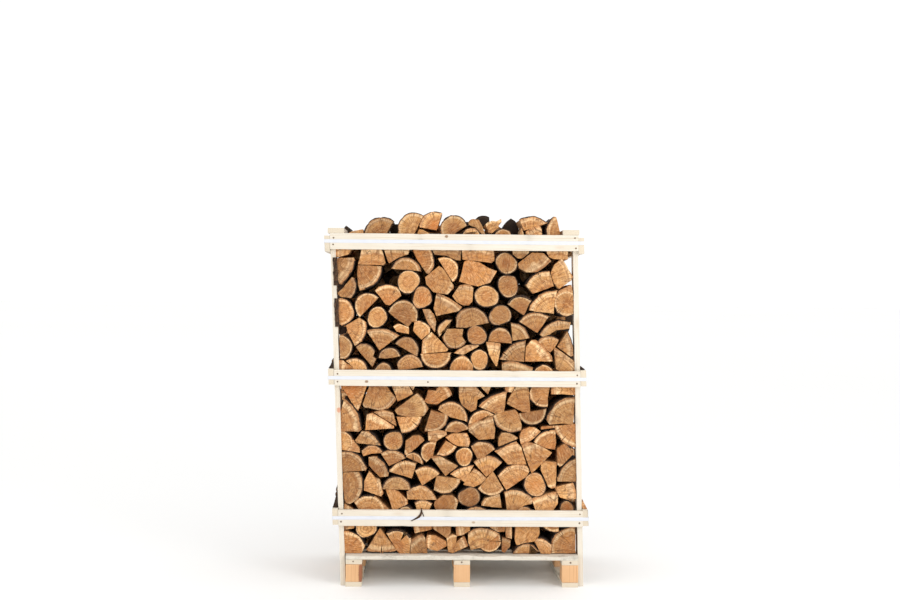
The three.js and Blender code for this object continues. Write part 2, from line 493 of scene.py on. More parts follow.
BAND_1 = """
b 1.5 2.5,10.3 0,10.5 0,0.2 7.8,0.3 9.6,4
n 0.3 0,11 4.6,11.8 5,16 0,16.5
c r4.65 10.3,11.9
n 1.5 24.2,1.6 16.8,11.6 10.4,1.7
N 2.6 19.9,9.6 24.6,1.3 25.5,0.1 30.2,0.1 31.2,7.4
n 0.2 31.4,6.4 30.8,0.1 38.6,0.2 37.6,7.4 36,9.1
o 0.3 33,9.6 40.6,11.6 41,14.5 33,15
n 0.4 38.5,3 39.5,2.1 43.5,1.4 47.6,3.6 47.4,5.7 42.5,8.4 38.9,8.4
n 0.2 41.5,12 47.8,7.6 49.8,10 50,15 42,15.5
n 0.2 47.8,7.7 48.4,1.6 50.5,2.8 52,5.3 52.4,8.4 50.6,9.2
n 0.2 55.8,8.1 52,5 48.2,0.8 50.5,0.4 57.6,3.7
o 0.2 52.6,8.5 55,8.9 58.8,11 59,15 52.6,15
n 2.4 58,10.2 57.9,6 59,2.2 64.6,3.2 72.4,9.6
n 4.9 72.6,9 63.9,2.5
o 0.3 73.8,7.7 73.6,1.2 74.8,0.8 77.3,3.8 77.6,6.4
n 0.2 75.6,7.9 78.2,7.2 78.4,15 76,15
n 0 68.2,12.6 71.5,10.5 74.8,10.7 75.5,16.5 68.5,16.5
n 0.4 80.6,4.2 85,5.4 89.3,6 91.3,9.6 90.8,16 80.6,16 80,9
n 4.6 78.8,0.3 91,0.4
n 0.7 90.5,7.6 89.1,5.8 91.7,0.6 96,0.5 97,4.8
n 2 100.2,10.8 100.3,15 92,15
n 2.6 96.6,4.6 96.2,0.4 108.2,0.6 107.8,12.8
"""

BAND_2 = """
n 0.2 0.3,17 5.5,17 4.3,20.6 0.6,23.2
n 1.9 7.8,37.7 0.3,37.6 0,31 1.3,23.5 3.2,23.2 7.4,25.6
n 1.6 5.3,24 9.5,17 25,17 14.6,26.7
n 0.3 20.2,29.8 23,20.4 24,20.3 30,23.2 29.8,25 26,28.6 24,29.8
n 4.7 24.8,17.5 33.3,17.5
n 2.6 29.9,29 29.9,25.4 43.4,25.3 41,29.4
c 1.4 41.3,23.5 38.5,18 35,18 33.2,23.8
n 0.4 42.6,21.6 44.5,17.5 51.5,17.5 53.5,24.8 50.8,27.2 46.8,27.3 43,24.5
n r4.9 58.8,26.4
o 4.6 55,17.5 69.5,17.5
n 0.2 64.4,22.7 73.7,21.8 72.8,27.8 66.2,25.8
p 3.1 75,30 69.9,38.4 63.1,30.2
n 2.4 75.4,29 76.6,19.8 79.9,20.3 84.5,22.8 88,23.6 88.3,26
c 4.8 80.3,17.5 89,17.5
n 0.3 88.2,25.8 89.8,20.7 91,17.5 97,17.5 98,20.7 100,23.6 100.3,27 99.6,29.1
n 0.4 107.4,33.4 99.3,31 99.9,29.3 101.3,26.7 104.5,25.7 108.8,26
o r3.4 104.2,21.5
"""

BAND_3 = """
n 2.6 0,47.5 0.2,38.2 10.8,38.6 11.3,40
n 0.2 12.4,38.3 10.2,33.6 9.8,29.3 17.8,26.7 18.6,28 17,34.4 15,35.3
g 0.8 21.4,37.8 21,36.2 17.5,35.7 12.4,41.2 12.5,44.8 16.5,45.2
n 2.9 9.2,48 10,45.5 13,46.5 19.2,47.2
n 0.7 1.8,56.8 0.2,56.6 0,48.2 8.2,47.1 8,49 5.2,52.8
n 0.7 18.2,50.5 7,51.6 6.4,52.8 9.6,56.7 13,56.8
n r4.6 24.2,52.6
n 2.5 18.1,46.8 21.8,41 29.6,44.7
n 2.3 34.4,42.4 32.2,35.1 21.8,38.3 22.2,39.5
n 0.4 38.3,52.9 30.2,45.7 29.2,46.5 30,52.6 33.2,54.8 35.8,55.1
n 1.6 31,46.8 29.9,45.3 35,43 37.5,41.8 37.3,43.8
o 3.5 39,43 42.2,45.5 44,52.4 41,52.2
n 0.2 40.3,56.8 40.5,52.9 44,52.6 49,55.6 48.8,57 46,57.4
n 1.9 53.4,49.8 48.6,52.6 44.2,46.2
n 0.2 58.3,56.1 51.5,56 48.5,54.4 51,52 54,50.5 59,50.2 59.6,52.3
n r4.3 56.8,45.3
n 0 41.3,45.3 48,36.4 53.8,41 45.5,45.6
n 2.4 33.8,39 37,31.8 45.2,37.5
n 3.1 54.4,33 54.5,34.8 44,36.2 42.4,29.6
n 1.2 50.2,37.2 57,33.6 61,41.4
n 0.3 61.3,39.6 57.6,34.6 56.4,32.3 61,31.2 64.6,32.9 67,35.3 65.2,37
n 1.4 74.6,43 66.9,36.2 61.4,42.8 65,45.3
n 2.8 71.1,49.2 66,45.4 63,44.6 60.1,50.5
c 0.4 74.6,56.6 73.1,54 73,50.4 82,54.2 79,56
n 0.5 71.3,48.2 77.3,42 85.6,42.1 83.5,50 81,52.7
n 0 83.8,51 88.2,37.9 94.5,44 97.7,47.4 94,49.8 90,51.5 86.3,52.2
n 2.6 85.8,41.3 87,38.8 85.3,36 76.2,30.1 72.3,36.6
n 1.8 99.3,58 99.8,52 99.2,49 95.5,49.6 92.5,50.8 89.4,52.6
n 0.3 92.6,42.4 92.7,38.8 96,31.6 97.6,30.7 99.2,31.3 99.8,42.8 95,43.3
n r5.25 89.6,32.5
o 0.3 103.4,51.6 100.4,49.5 100.3,42 101.5,41 107.4,46.8 105.5,50
n 1.6 100.4,36 100.3,34.1 108.8,34.1 108.9,45
c 6 18.2,30.2 31.6,30
"""

BAND_4 = """
n 2 2,72.3 0.2,66 0,57.2 8.2,56.8 9.2,58
o 0.2 1.4,76.9 5.2,70.5 8,66.6 12.8,79 1.8,79
n 0.4 25.8,72.2 20.6,79 14.2,79 10.4,69.6 11,68.2 18.5,66.9 22,67.8
o 0.2 23.8,79 25.8,74 26.6,71 33.6,74.6 31.4,79
c 0 32.2,79 33.8,76.3 35.2,79
n 0.3 35.6,74.7 25.2,66.8 26.5,65 33,63.8 38.5,64.5 40.5,67.5 38.8,71.4
n 0.2 14.6,65.4 12.2,64.6 11.2,57.5 24.5,58.6 24.4,59.4
n 0.2 15.4,65.8 25.6,59.6 24.2,65.4 20,66.8
n 2.2 37.6,63.7 26,63.7 28.3,56.2
b 0.3 49,79 46,78.2 44.5,76 40.9,76.2 40.2,73.4 39,71.2 40.5,70.1 45,69.8 51.8,74.4
n 4.8 58.5,62 51,63.8 45.3,67.2 46.5,69.4
n 1.2 49.8,64.9 42,66.8 38.8,57.2 45.5,57.7
n 4 48,57.4 53.5,56.6 59.3,58.6
n 0.3 55.3,79 55.3,73 56.5,69.4 60.5,66.4 62.9,67.6 63.5,72 66.8,73.8 62,79
n 1.6 77.3,76 75.6,66.2 71.8,65.8 64.2,69
n 0 64.5,79 68.5,74.7 70.2,79
o 4.2 59.1,60.4 71,65.2
n 0.2 59.2,60 59.3,57.2 63.9,53.3 71,54 71.4,58.5 70.4,64.4
n 3.7 83.6,57.8 83.8,60.5 82,66 81,67.3 75.5,66.4 70.3,64.6
p 6.3 95.6,67.8 82.5,65.4
n 0.3 82.2,79 78,72 77.5,70.2 84.5,66.4 87.9,66.4 87.2,79
n 2.4 95.9,68.9 96.3,73.5 97.4,79 89.6,79 87.6,75
n 0 98,74.9 109,74.7 109,81 98.3,81
n 3.2 95.6,63 97,60.6 103,61.3 107.8,60.8 108.2,66.5 108.8,73.6
o 0.4 92.6,57.3 90,59 87.5,59.3 84,57.8 83,54.8 83.6,51.3 87,52.6
b 0.2 93,58.4 99.2,59.2 99.2,60 93.5,59.6
n 0.8 107,50.3 109,50.2 109,60.8 99.3,60 100.2,55.8
b 0 76.8,75.9 79.6,75.6 81.4,79 76.6,79
"""

BAND_5 = """
b 0 0,83 8.5,83 7.4,85.6 1.8,89.8 0,90
n 4.2 3.5,89.8 9.3,83.5 12.9,83.5
n 3.6 2.5,101.6 0.7,101.5 0.7,91 3.2,91
n 0.9 12.9,107.6 9.8,109.7 3.9,106.3 4.4,103.5 7.6,96.8 10.8,99.2
n 2.2 7.8,96.4 15.3,87.2 17,90.6 15.5,91.8 16.6,94.6
n 2 13,104 18.8,94.9 27.9,101.8
n r4.8 18.2,110.1
n 4.3 18.4,91.4 22,91.2 28.3,92.3
n 5.9 26.2,98 36.2,92.1
n 5 26.8,88.5 27.5,85.8 31,86 38.8,87.3
n 4.3 16,84.5 24.8,84.8
n 0.2 25.4,105.9 27,103.6 32.4,102.7 32.4,105.6 28,107.2
n 1.4 35.5,108.2 34.6,104 38.3,99.9 42,103 42.3,105.8
n 0.2 44.6,103.3 45.1,108.4 44.3,111.5 42.4,113.9 39.3,114 41,109.2
n 0.2 50.6,95.6 43,103.3 39,99.6 38.3,93.5 49.5,94.5
n 3.2 46.4,101.2 52.6,109.3
n 3 58.5,98.8 57,101.5 57.7,105 50.4,104.8 48.2,101 48.8,98.8
o 0 53.3,93.8 57.5,93 64.8,97 64.6,97.8 59,97.3
n r4.6 63.8,102.1
b 7.4 51,85 62.2,85
n r4.5 64.9,90.8
c 0.2 68.4,98.8 69.6,93 72.6,87.6 73,87.8 74.4,95 74.8,98.2
n 6.9 69,99.4 79.9,98.6
n 2 74.1,91 85.5,90 86.4,100
n 0.3 91.2,100 89.2,99.8 86.6,96.5 86.2,90.2 98.7,90.3 98.3,92.6
n 2.3 91.9,98.9 97.8,94.5 99.8,96.8 102,100.4
n 1 106,104 101.3,97.1 107.4,92.6 108.6,93.2
n 0 99.9,96.6 100.5,86.5 105,84 109,84 109,90.2
n 1.3 75.4,89.7 75.9,83.5 89,83.5 89.5,87.3
n 4.1 89.8,84.6 99.2,84.6
n 1.9 80,108.2 80.5,99.8 88.4,101
n 2.9 83.5,108.8 91.9,103.6 97.3,111.2
n 3.2 93.3,102.8 94.6,101.6 97.6,102.8 100.8,104.9 106.8,105.6 107.4,108.6
n 5.8 54.9,110.5 54.5,105.8 59,105.7 69.6,108.2
n 7.2 51.9,93.8 37.5,93.1
"""

BAND_6 = """
n 0 0,138.4 1.8,138.4 5.6,139.6 7.8,143 0,143
n 1 8.8,136.4 8.2,137.9 0,137.5 0.4,128 1.1,125.6 2.6,125.8
n 1.6 8.2,128 7,128.7 3.1,123.8 0.1,121.3 1.6,119.5 6.6,119.2
n 5.4 2.6,118.7 0,118.6 0,107.2 2,106.3
n 6.8 10,110.3 18.9,119.5
n 2.2 21,133.8 10,134.2 9.6,130 9.9,125 10.6,122.8 13,123.3
n 0.3 12.2,143 11,138 10,134.8 21.5,134.6 22.5,135.6 21.8,139 20.6,143
n 0 21.8,143 24.3,135.6 28.5,138 33,139.8 34,143
n 5.6 25.2,133 38.7,132.1
n r5.3 33,126.8
o 1.3 19.6,124.4 17.6,122.7 22.3,116.2 24,115.9 29.3,120.3 28.3,123.8
n 7.6 23.4,113 26.6,110 32.3,106 34,108.3 36.5,108.6
o r4.8 39.1,119.5
o 2.6 42.8,143 35.3,142 37,138 41.6,131 42.5,130.8
n 0 44,143 45.4,139.8 51,139.2 55,137.3 57,137.2 57.6,143
n 4 50,138.5 46.9,137.8 53.4,127.1 54.4,127.8
n 0.3 47.2,134.3 40.9,128.9 41.2,125.8 44.3,122.2 50.8,121.3 53.6,124 53.6,125.4 50.2,131.3
n 0.2 46,121.5 44.4,114.5 45.5,111 55.8,113.5 57.2,115.2 52,119
n 0.3 56.5,125.3 53.3,120.4 55,117.8 58,116.1 60.3,116.2 62.1,117.8 62.8,124.2 61.6,125.4
n 0.3 59,136.4 57.6,131 56.4,127.3 59.5,126.2 65,125.2 70.5,126.8 73.6,132 70,133.4 66,136 61.8,136.9
n r5.4 68.9,120.3
n 0 58,143 58.3,137.6 71.3,136.2 72.6,137.2 72.4,143
o r4.95 78.2,135.9
n 0.3 98.9,137.1 95.4,140.7 90.2,140.9 83.6,135.6 84.2,133.6 87.5,131.7 92,131.9
n 0.2 81,143.5 81.6,140 83.5,138.4 85.5,138.3 88.6,141 88.8,143.5
n 0 96.4,143.5 98,139.2 100.4,138.2 106.6,137.9 106.8,143.5
n 0.3 103.8,137.9 100.6,135.4 98.8,131.5 100,126.8 102.3,124 107.8,128 109,129.8 106.9,132.9
n 1.9 87,126 90.2,121.8 99.7,125.4 97.9,132.5
n r5.05 78.9,125.3
N 3.2 78.4,116.8 85.9,111.9 87,114 89.3,118.6
n 2.2 101.4,123.4 99.8,118.5 99.6,112.6 88.7,114 89,116.5
n 2.4 108.8,112.2 109,118 108,126 102.3,123.2 100.4,119.8 100.1,115.6
n r4.9 74.9,111.6
"""

FRONT_HEAP = """
n 0 5,143.5 14,143.5 12.6,151 9,150.3 6.4,149.4
n 4.4 13,149 12.5,143.5 21.5,143.5 23.6,149.4 25.6,153.4 26.8,155
n 4.4 28.8,150.5 29.4,143.5 33,143.5 36.2,149.3 40.4,157.8
o 2.9 38.9,153.5 38.9,152.4 46.4,151.2 49.2,159.1
c 0.3 37.6,149 38,144 43,144 43,149.5 40.4,151 38.8,151.4
o 6.1 48.5,150.5 49.5,145 53,145 55,149.9 60.5,153.4
c 0.3 61.2,154.9 61.5,153.8 64.6,152.6 67.4,149.2 68.8,149.2 67.6,153 66,156 63.4,156.4
c 0.2 69.1,154 70.5,150.2 71.8,149.9 74.9,152.5 75.4,154.6 76.4,155.3 76.2,156.4 74,155.3 72,155.7
n 3.7 57.8,148.4 66.9,148.4
b 3.4 73,148.6 81,148.6
c 0 84,146 87.2,146 85.7,152.3
n 2.2 84.9,156.3 86.7,151.4 97.6,154.9
o 0.2 87.6,150.7 88,146 94.9,146 94.6,152 93.8,153.8
n 1.4 96.9,148.5 97.2,146 103.5,146 103.2,150.5 101.6,157.6 100.4,157.7
"""

# The k logs of this heap, behind the front one, are painted nearly black, as shade.
REAR_HEAP = """
k 0.2 1,144 5,144 4.6,152.4 3.4,153.4
n r3.2 8.8,147.5
n 7 12.5,146 24.5,146
k 0.3 25.3,145 31,145 30.8,154.3 25.6,154.4
n r4.9 36.8,150.4
n 0.6 42.4,145 49.5,144.8 49.8,153.4 44,155
n r4.7 55.2,150.2
n 6.5 61,146 69,146
k 0.3 66.4,158 67.8,154.6 69.7,154.6 71.4,157 71.4,158.6 69.4,158.9
b r4.1 74.2,149.7
k 0.5 79,150.4 80,145.4 85.5,145.4 85.2,154.4 83.9,156.6 82.4,157.7 80.6,155.5
n r4.7 91,150.3
k 0.3 96.8,145 105,144.8 104.9,153 101,153.2 97,152
"""

SIDE_LOGS = """
b 1.2 -4.2,21.6 6,21.5 6.4,26 -2.6,28.6
b 0.8 -4.2,86.4 6,86.4 6.6,90 -2.8,89.4
b 0.8 101,21.5 112.8,21.6 111,24.4 102,27
b 0.8 100,86.4 112.8,86.4 110.6,88.8 102,91
"""

BANDS = (BAND_1, BAND_2, BAND_3, BAND_4, BAND_5, BAND_6)


def read_sheet(text):
    """Logs from a sheet: letter, bulge or radius in metres, and corners in centimetres."""
    logs = []
    for line in text.split("\n"):
        words = line.split()
        if words:
            corners = [tuple(float(v) for v in pair.split(",")) for pair in words[2:]]
            is_round = words[1].startswith("r")
            logs.append({"letter": words[0], "round": is_round, "corners": corners,
                         "bulge": float(words[1].lstrip("r")) * CM})
    return logs


print("logs on the front sheet:", sum(len(read_sheet(band)) for band in BANDS + (FRONT_HEAP,)))

# %% [markdown]
# The sheet is laid over the crate by measuring the posts, which the CAD model has already set
# leaning. A point's share of the way across is kept at every height.

# %% From the sheet to the crate
POST_WIDTH = 24 * MM
SHEET_STRETCH = 1.007


def inner_face(side):
    """The inner face of a pair of posts, as its place at the ground and its shift with height."""
    low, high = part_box(f"post_front_{side}")
    if side == "left":
        return high.x, (low.x - (high.x - POST_WIDTH)) / high.z
    return high.x - POST_WIDTH, (low.x - (high.x - POST_WIDTH)) / high.z


left_foot, left_lean = inner_face("left")
right_foot, right_lean = inner_face("right")
deck_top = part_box("deck_board_1")[1].z


def sheet_to_crate(x_cm, z_cm):
    """A place on the sheet as X and Z in the crate, in metres."""
    z = deck_top + z_cm * CM * SHEET_STRETCH
    left = left_foot + left_lean * z
    right = right_foot + right_lean * z
    return left + (right - left) * x_cm / SHEET_WIDTH, z


print("posts lean", round(left_lean, 4), round(right_lean, 4), "and the deck is at", round(deck_top, 4))

# %% [markdown]
# ## Outline of a log's end
#
# The corners are joined by straight split edges, and the bark runs back from the last corner to
# the first as an arc of a circle, or as half an ellipse where it bulges further than a half
# circle can. The outline is given points every few millimetres, because the wood's unevenness is
# put on by moving them. Each point remembers whether it is bark. A side that bulges less than a
# few millimetres has lost its bark, and no pith lies farther off than the widest trunk allows.

# %% Outlines
SPLIT_STEP = 13 * MM
BARK_STEP = 9 * MM
FLAT_BULGE = 0.4 * MM
BARK_BULGE = 4.5 * MM
FARTHEST_PITH = 0.16


def bark_arc(start, end, bulge):
    """Points from start to end, bulging to the right of the way there, and the arc's centre."""
    chord = end - start
    half = chord.length / 2
    along = chord.normalized()
    out = Vector((along.y, -along.x))
    middle = (start + end) / 2
    if bulge <= half:
        radius = (bulge ** 2 + half ** 2) / (2 * bulge)
        centre = middle + out * (bulge - radius)
        sweep = math.asin(min(1.0, half / radius))
        count = max(3, round(2 * sweep * radius / BARK_STEP))
        angles = [sweep * (2 * i / count - 1) for i in range(count + 1)]
        return [centre + along * radius * math.sin(a) + out * radius * math.cos(a)
                for a in angles], centre
    count = max(6, round(math.pi * (half + bulge) / 2 / BARK_STEP))
    angles = [math.pi * (i / count - 0.5) for i in range(count + 1)]
    return [middle + along * half * math.sin(a) + out * bulge * math.cos(a) for a in angles], middle


def log_outline(log):
    """Points anticlockwise round the end, with a bark mark for each, and the pith's place."""
    if log["round"]:
        centre = Vector(sheet_to_crate(*log["corners"][0]))
        count = max(14, round(2 * math.pi * log["bulge"] / BARK_STEP))
        points = []
        for angle in (2 * math.pi * i / count for i in range(count)):
            oval = 0.06 * math.cos(2 * angle + 90 * centre.x) + 0.035 * math.cos(3 * angle + 70 * centre.y)
            way = Vector((math.cos(angle), math.sin(angle)))
            points.append(centre + log["bulge"] * (1 + oval) * way)
        return points, [True] * count, centre

    corners = [Vector(sheet_to_crate(*corner)) for corner in log["corners"]]
    turn = sum(a.cross(b) for a, b in zip(corners, corners[1:] + corners[:1]))
    if len(corners) > 2 and turn < 0:
        corners.reverse()
    points, marks = [], []
    for a, b in zip(corners, corners[1:]):
        count = max(1, round((b - a).length / SPLIT_STEP))
        points += [a.lerp(b, i / count) for i in range(count)]
        marks += [False] * count
    bulge = max(log["bulge"], FLAT_BULGE)
    arc, centre = bark_arc(corners[-1], corners[0], bulge)
    has_bark = log["bulge"] > BARK_BULGE
    points += arc[:-1]
    marks += [has_bark] * (len(arc) - 1)
    marks[0] = has_bark
    middle = sum(points, Vector((0, 0))) / len(points)
    if (centre - middle).length > FARTHEST_PITH:
        centre = middle + (centre - middle).normalized() * FARTHEST_PITH
    return points, marks, centre


# %% [markdown]
# ## A log from its outline
#
# Rings of points run the length of the log, and each ring is moved in or out by smooth noise.
# Bark is lumpy both ways. A split face follows the fibres, so it is ribbed along the log and
# changes slowly. The saw leaves each end flat but never quite square. Drying opens a check in
# many round ends, which is cut in as a narrow wedge that closes about a third of the way in.

# %% One log
RINGS = (0.0, 0.06, 0.22, 0.45, 0.7, 0.9, 1.0)
CHAMFER = 1.4 * MM
BARK_DEPTH = 3.8 * MM
THICK_BARK_DEPTH = 9 * MM
CHECK_REACH = 0.3
CHECK_CHANCE = 0.4
DEEPEST_CHECK = 5 * CM
END_INSET = 3 * MM
MOST_FORWARD = 6 * MM
LOG_LENGTH = 0.25

# Paleness and orangeness for each letter. Letter k has no paleness, which log_shade turns into painted
# shade: nearly black.
TONES = {"n": (0.5, 0.3), "c": (0.85, 0.1), "o": (0.5, 0.85), "b": (0.12, 0.5),
         "g": (0.2, 0.05), "p": (0.42, 0.0), "k": (0.0, 0.2)}
BARK, SPLIT, SAWN = 0, 1, 2


def inward(points):
    """The direction into the log at each point of an anticlockwise outline."""
    directions = []
    for i, point in enumerate(points):
        along = (points[(i + 1) % len(points)] - points[i - 1]).normalized()
        directions.append(Vector((-along.y, along.x)))
    return directions


def cut_check(points, marks, pith, dice):
    """Opens a drying check from the bark towards the pith. Returns the index of its tip."""
    places = [i for i in range(2, len(points) - 2) if marks[i] and marks[i - 1] and marks[i + 1]]
    if not places:
        return None
    i = dice.choice(places)
    to_pith = pith - points[i]
    width = dice.uniform(1.2, 2.4) * MM
    along = (points[i + 1] - points[i - 1]).normalized()
    reach = min(to_pith.length * dice.uniform(0.6, 0.95), DEEPEST_CHECK)
    tip = points[i] + to_pith.normalized() * reach
    points[i:i + 1] = [points[i] - along * width, tip, points[i] + along * width]
    marks[i:i + 1] = [True, True, True]
    return i + 1


def build_log(log, front, back, dice, swell=0.0):
    """One log from front to back, its outline pushed out by swell.

    Returns its vertices, faces, face finishes and face-corner grain map, then its seed and how
    far its bark lies from its pith.
    """
    points, marks, pith = log_outline(log)
    tip = None
    if len(points) > 12 and dice.random() < CHECK_CHANCE:
        tip = cut_check(points, marks, pith, dice)
    count = len(points)
    into = inward(points)
    middle = sum(points, Vector((0, 0))) / count
    bark_depth = THICK_BARK_DEPTH if log["letter"].isupper() else BARK_DEPTH
    seed = dice.uniform(0, 50)
    front += dice.uniform(0.5, 9) * MM
    back -= dice.uniform(0, 6) * MM
    tilt = [(dice.uniform(-0.04, 0.04), dice.uniform(-0.04, 0.04)) for _ in range(2)]
    drift = Vector((dice.uniform(-3, 3), dice.uniform(-2, 2))) * MM

    travelled = [0.0]
    for a, b in zip(points, points[1:]):
        travelled.append(travelled[-1] + (b - a).length)
    girth = travelled[-1] + (points[0] - points[-1]).length

    vertices = []

    def add_ring(share, y, inset):
        """One ring: the uneven outline, or its inset copy that meets the sawn face."""
        end = 0 if share < 0.5 else 1
        for i, point in enumerate(points):
            turn = 2 * math.pi * travelled[i] / girth
            way = Vector((math.cos(turn), math.sin(turn), 0)) * girth / (2 * math.pi)
            spot = way + Vector((0, 0, share * LOG_LENGTH)) + Vector((seed, seed, 0))
            if marks[i]:
                push = noise.noise(spot * 70) * 3.0 + noise.noise(spot * 20) * 7.5
            else:
                ribbed = Vector((spot.x * 90, spot.y * 90, spot.z * 7))
                push = noise.noise(ribbed) * 1.8 + noise.noise(spot * 14) * 3.0
            push = push * (0.75 + 0.25 * min(1.0, share * 4)) * MM + swell
            depth = 0.0
            if inset:
                depth = bark_depth if marks[i] else CHAMFER * 0.8
            if i == tip:
                closing = min(1.0, share / CHECK_REACH)
                rim = (points[i - 1] + points[(i + 1) % count]) / 2
                point = point.lerp(rim, closing)
                push = depth = 0.0
            place = point + into[i] * (depth - push) + drift * share
            lean = tilt[end][0] * (place.x - middle.x) + tilt[end][1] * (place.y - middle.y)
            lean *= max(0.0, 1 - 6 * min(share, 1 - share))
            at = y + lean
            vertices.append((place.x, max(front - MOST_FORWARD, at) if share < 0.5 else at, place.y))

    front_face = front + END_INSET
    length = back - END_INSET - front_face
    add_ring(0.0, front_face, inset=True)
    for share in RINGS:
        nudge = CHAMFER if share == 0.0 else (-CHAMFER if share == 1.0 else 0.0)
        add_ring(share, front_face + share * length + nudge, inset=False)
    add_ring(1.0, front_face + length, inset=True)

    faces, finishes, grain = [], [], []

    def end_place(index):
        x, _, z = vertices[index]
        return x - pith.x, z - pith.y

    rings = len(RINGS) + 2
    for ring in range(rings - 1):
        rim = ring in (0, rings - 2)
        for i in range(count):
            j = (i + 1) % count
            face = (ring * count + i, (ring + 1) * count + i, (ring + 1) * count + j, ring * count + j)
            barky = marks[i] and marks[j]
            slit = tip is not None and tip in (i, j)
            faces.append(face)
            if rim and (slit or not barky):
                finishes.append(SAWN)
                grain.append([end_place(v) for v in face])
                continue
            finishes.append(SPLIT if slit or not barky else BARK)
            s0, s1 = travelled[i], travelled[j] if j else girth
            y0, y1 = vertices[face[0]][1], vertices[face[1]][1]
            grain.append([(s0, y0), (s0, y1), (s1, y1), (s1, y0)])
    faces.append(tuple(range(count)))
    faces.append(tuple(reversed(range((rings - 1) * count, rings * count))))
    for face in faces[-2:]:
        finishes.append(SAWN)
        grain.append([end_place(v) for v in face])
    reach = max((p - pith).length for p, mark in zip(points, marks) if mark or not any(marks))
    return vertices, faces, finishes, grain, seed, reach

# %% [markdown]
# ## Birch finishes
#
# A sawn birch end is warm tan. Growth rings show faintly round the pith, rays and fine checks run
# out from it, and the saw leaves a streaky fur of torn fibres in one direction. Old wood near the
# pith is stained orange or brown, and the young wood under the bark is the palest. Every log
# differs, so each carries four numbers of its own in a colour attribute: how pale it is, how
# orange, a seed that moves the pattern about, and how far its bark lies from its pith.

# %% Sawn birch ends
def log_tone(tree):
    """The numbers that each log carries, and its grain map shifted by its own seed."""
    tone = add_node(tree, "ShaderNodeAttribute", attribute_name="tone")
    parts = add_node(tree, "ShaderNodeSeparateColor", {"Color": tone.outputs["Color"]})
    grain_map = add_node(tree, "ShaderNodeUVMap", uv_map="grain")
    depth = add_node(tree, "ShaderNodeMath", {0: parts.outputs["Blue"], 1: 50.0}, operation="MULTIPLY")
    shift = add_node(tree, "ShaderNodeCombineXYZ", {"Z": depth})
    place = add_node(tree, "ShaderNodeVectorMath", {0: grain_map, 1: shift}, operation="ADD")
    return parts.outputs["Red"], parts.outputs["Green"], depth, grain_map, place


def log_shade(tree, colour, pale, depth):
    """Scales a colour by a factor of the log's own, part its own tone and part painted shade, as if each
    log met the light at its own slant. Letter k is painted nearly black, as shade.
    """
    chance = add_node(tree, "ShaderNodeTexWhiteNoise", {"W": depth}, noise_dimensions="1D")
    # Part each log's own tone, part painted shade: each log comes out lighter or darker as if it met the
    # light at its own slant.
    tone_and_painted_shade = add_node(tree, "ShaderNodeMapRange", {"Value": chance, "To Min": 0.72, "To Max": 1.24})
    # Letter k, with no paleness, drops to 0.07 of its colour: painted shade, nearly black.
    k_painted_shade = add_node(tree, "ShaderNodeMapRange", {"Value": pale, "From Max": 0.06, "To Min": 0.07})
    shade = add_node(tree, "ShaderNodeMath", {0: tone_and_painted_shade, 1: k_painted_shade}, operation="MULTIPLY")
    return add_node(tree, "ShaderNodeMix", {"Factor": 1.0, "A": colour, "B": shade},
                    data_type="RGBA", blend_type="MULTIPLY").outputs[2]


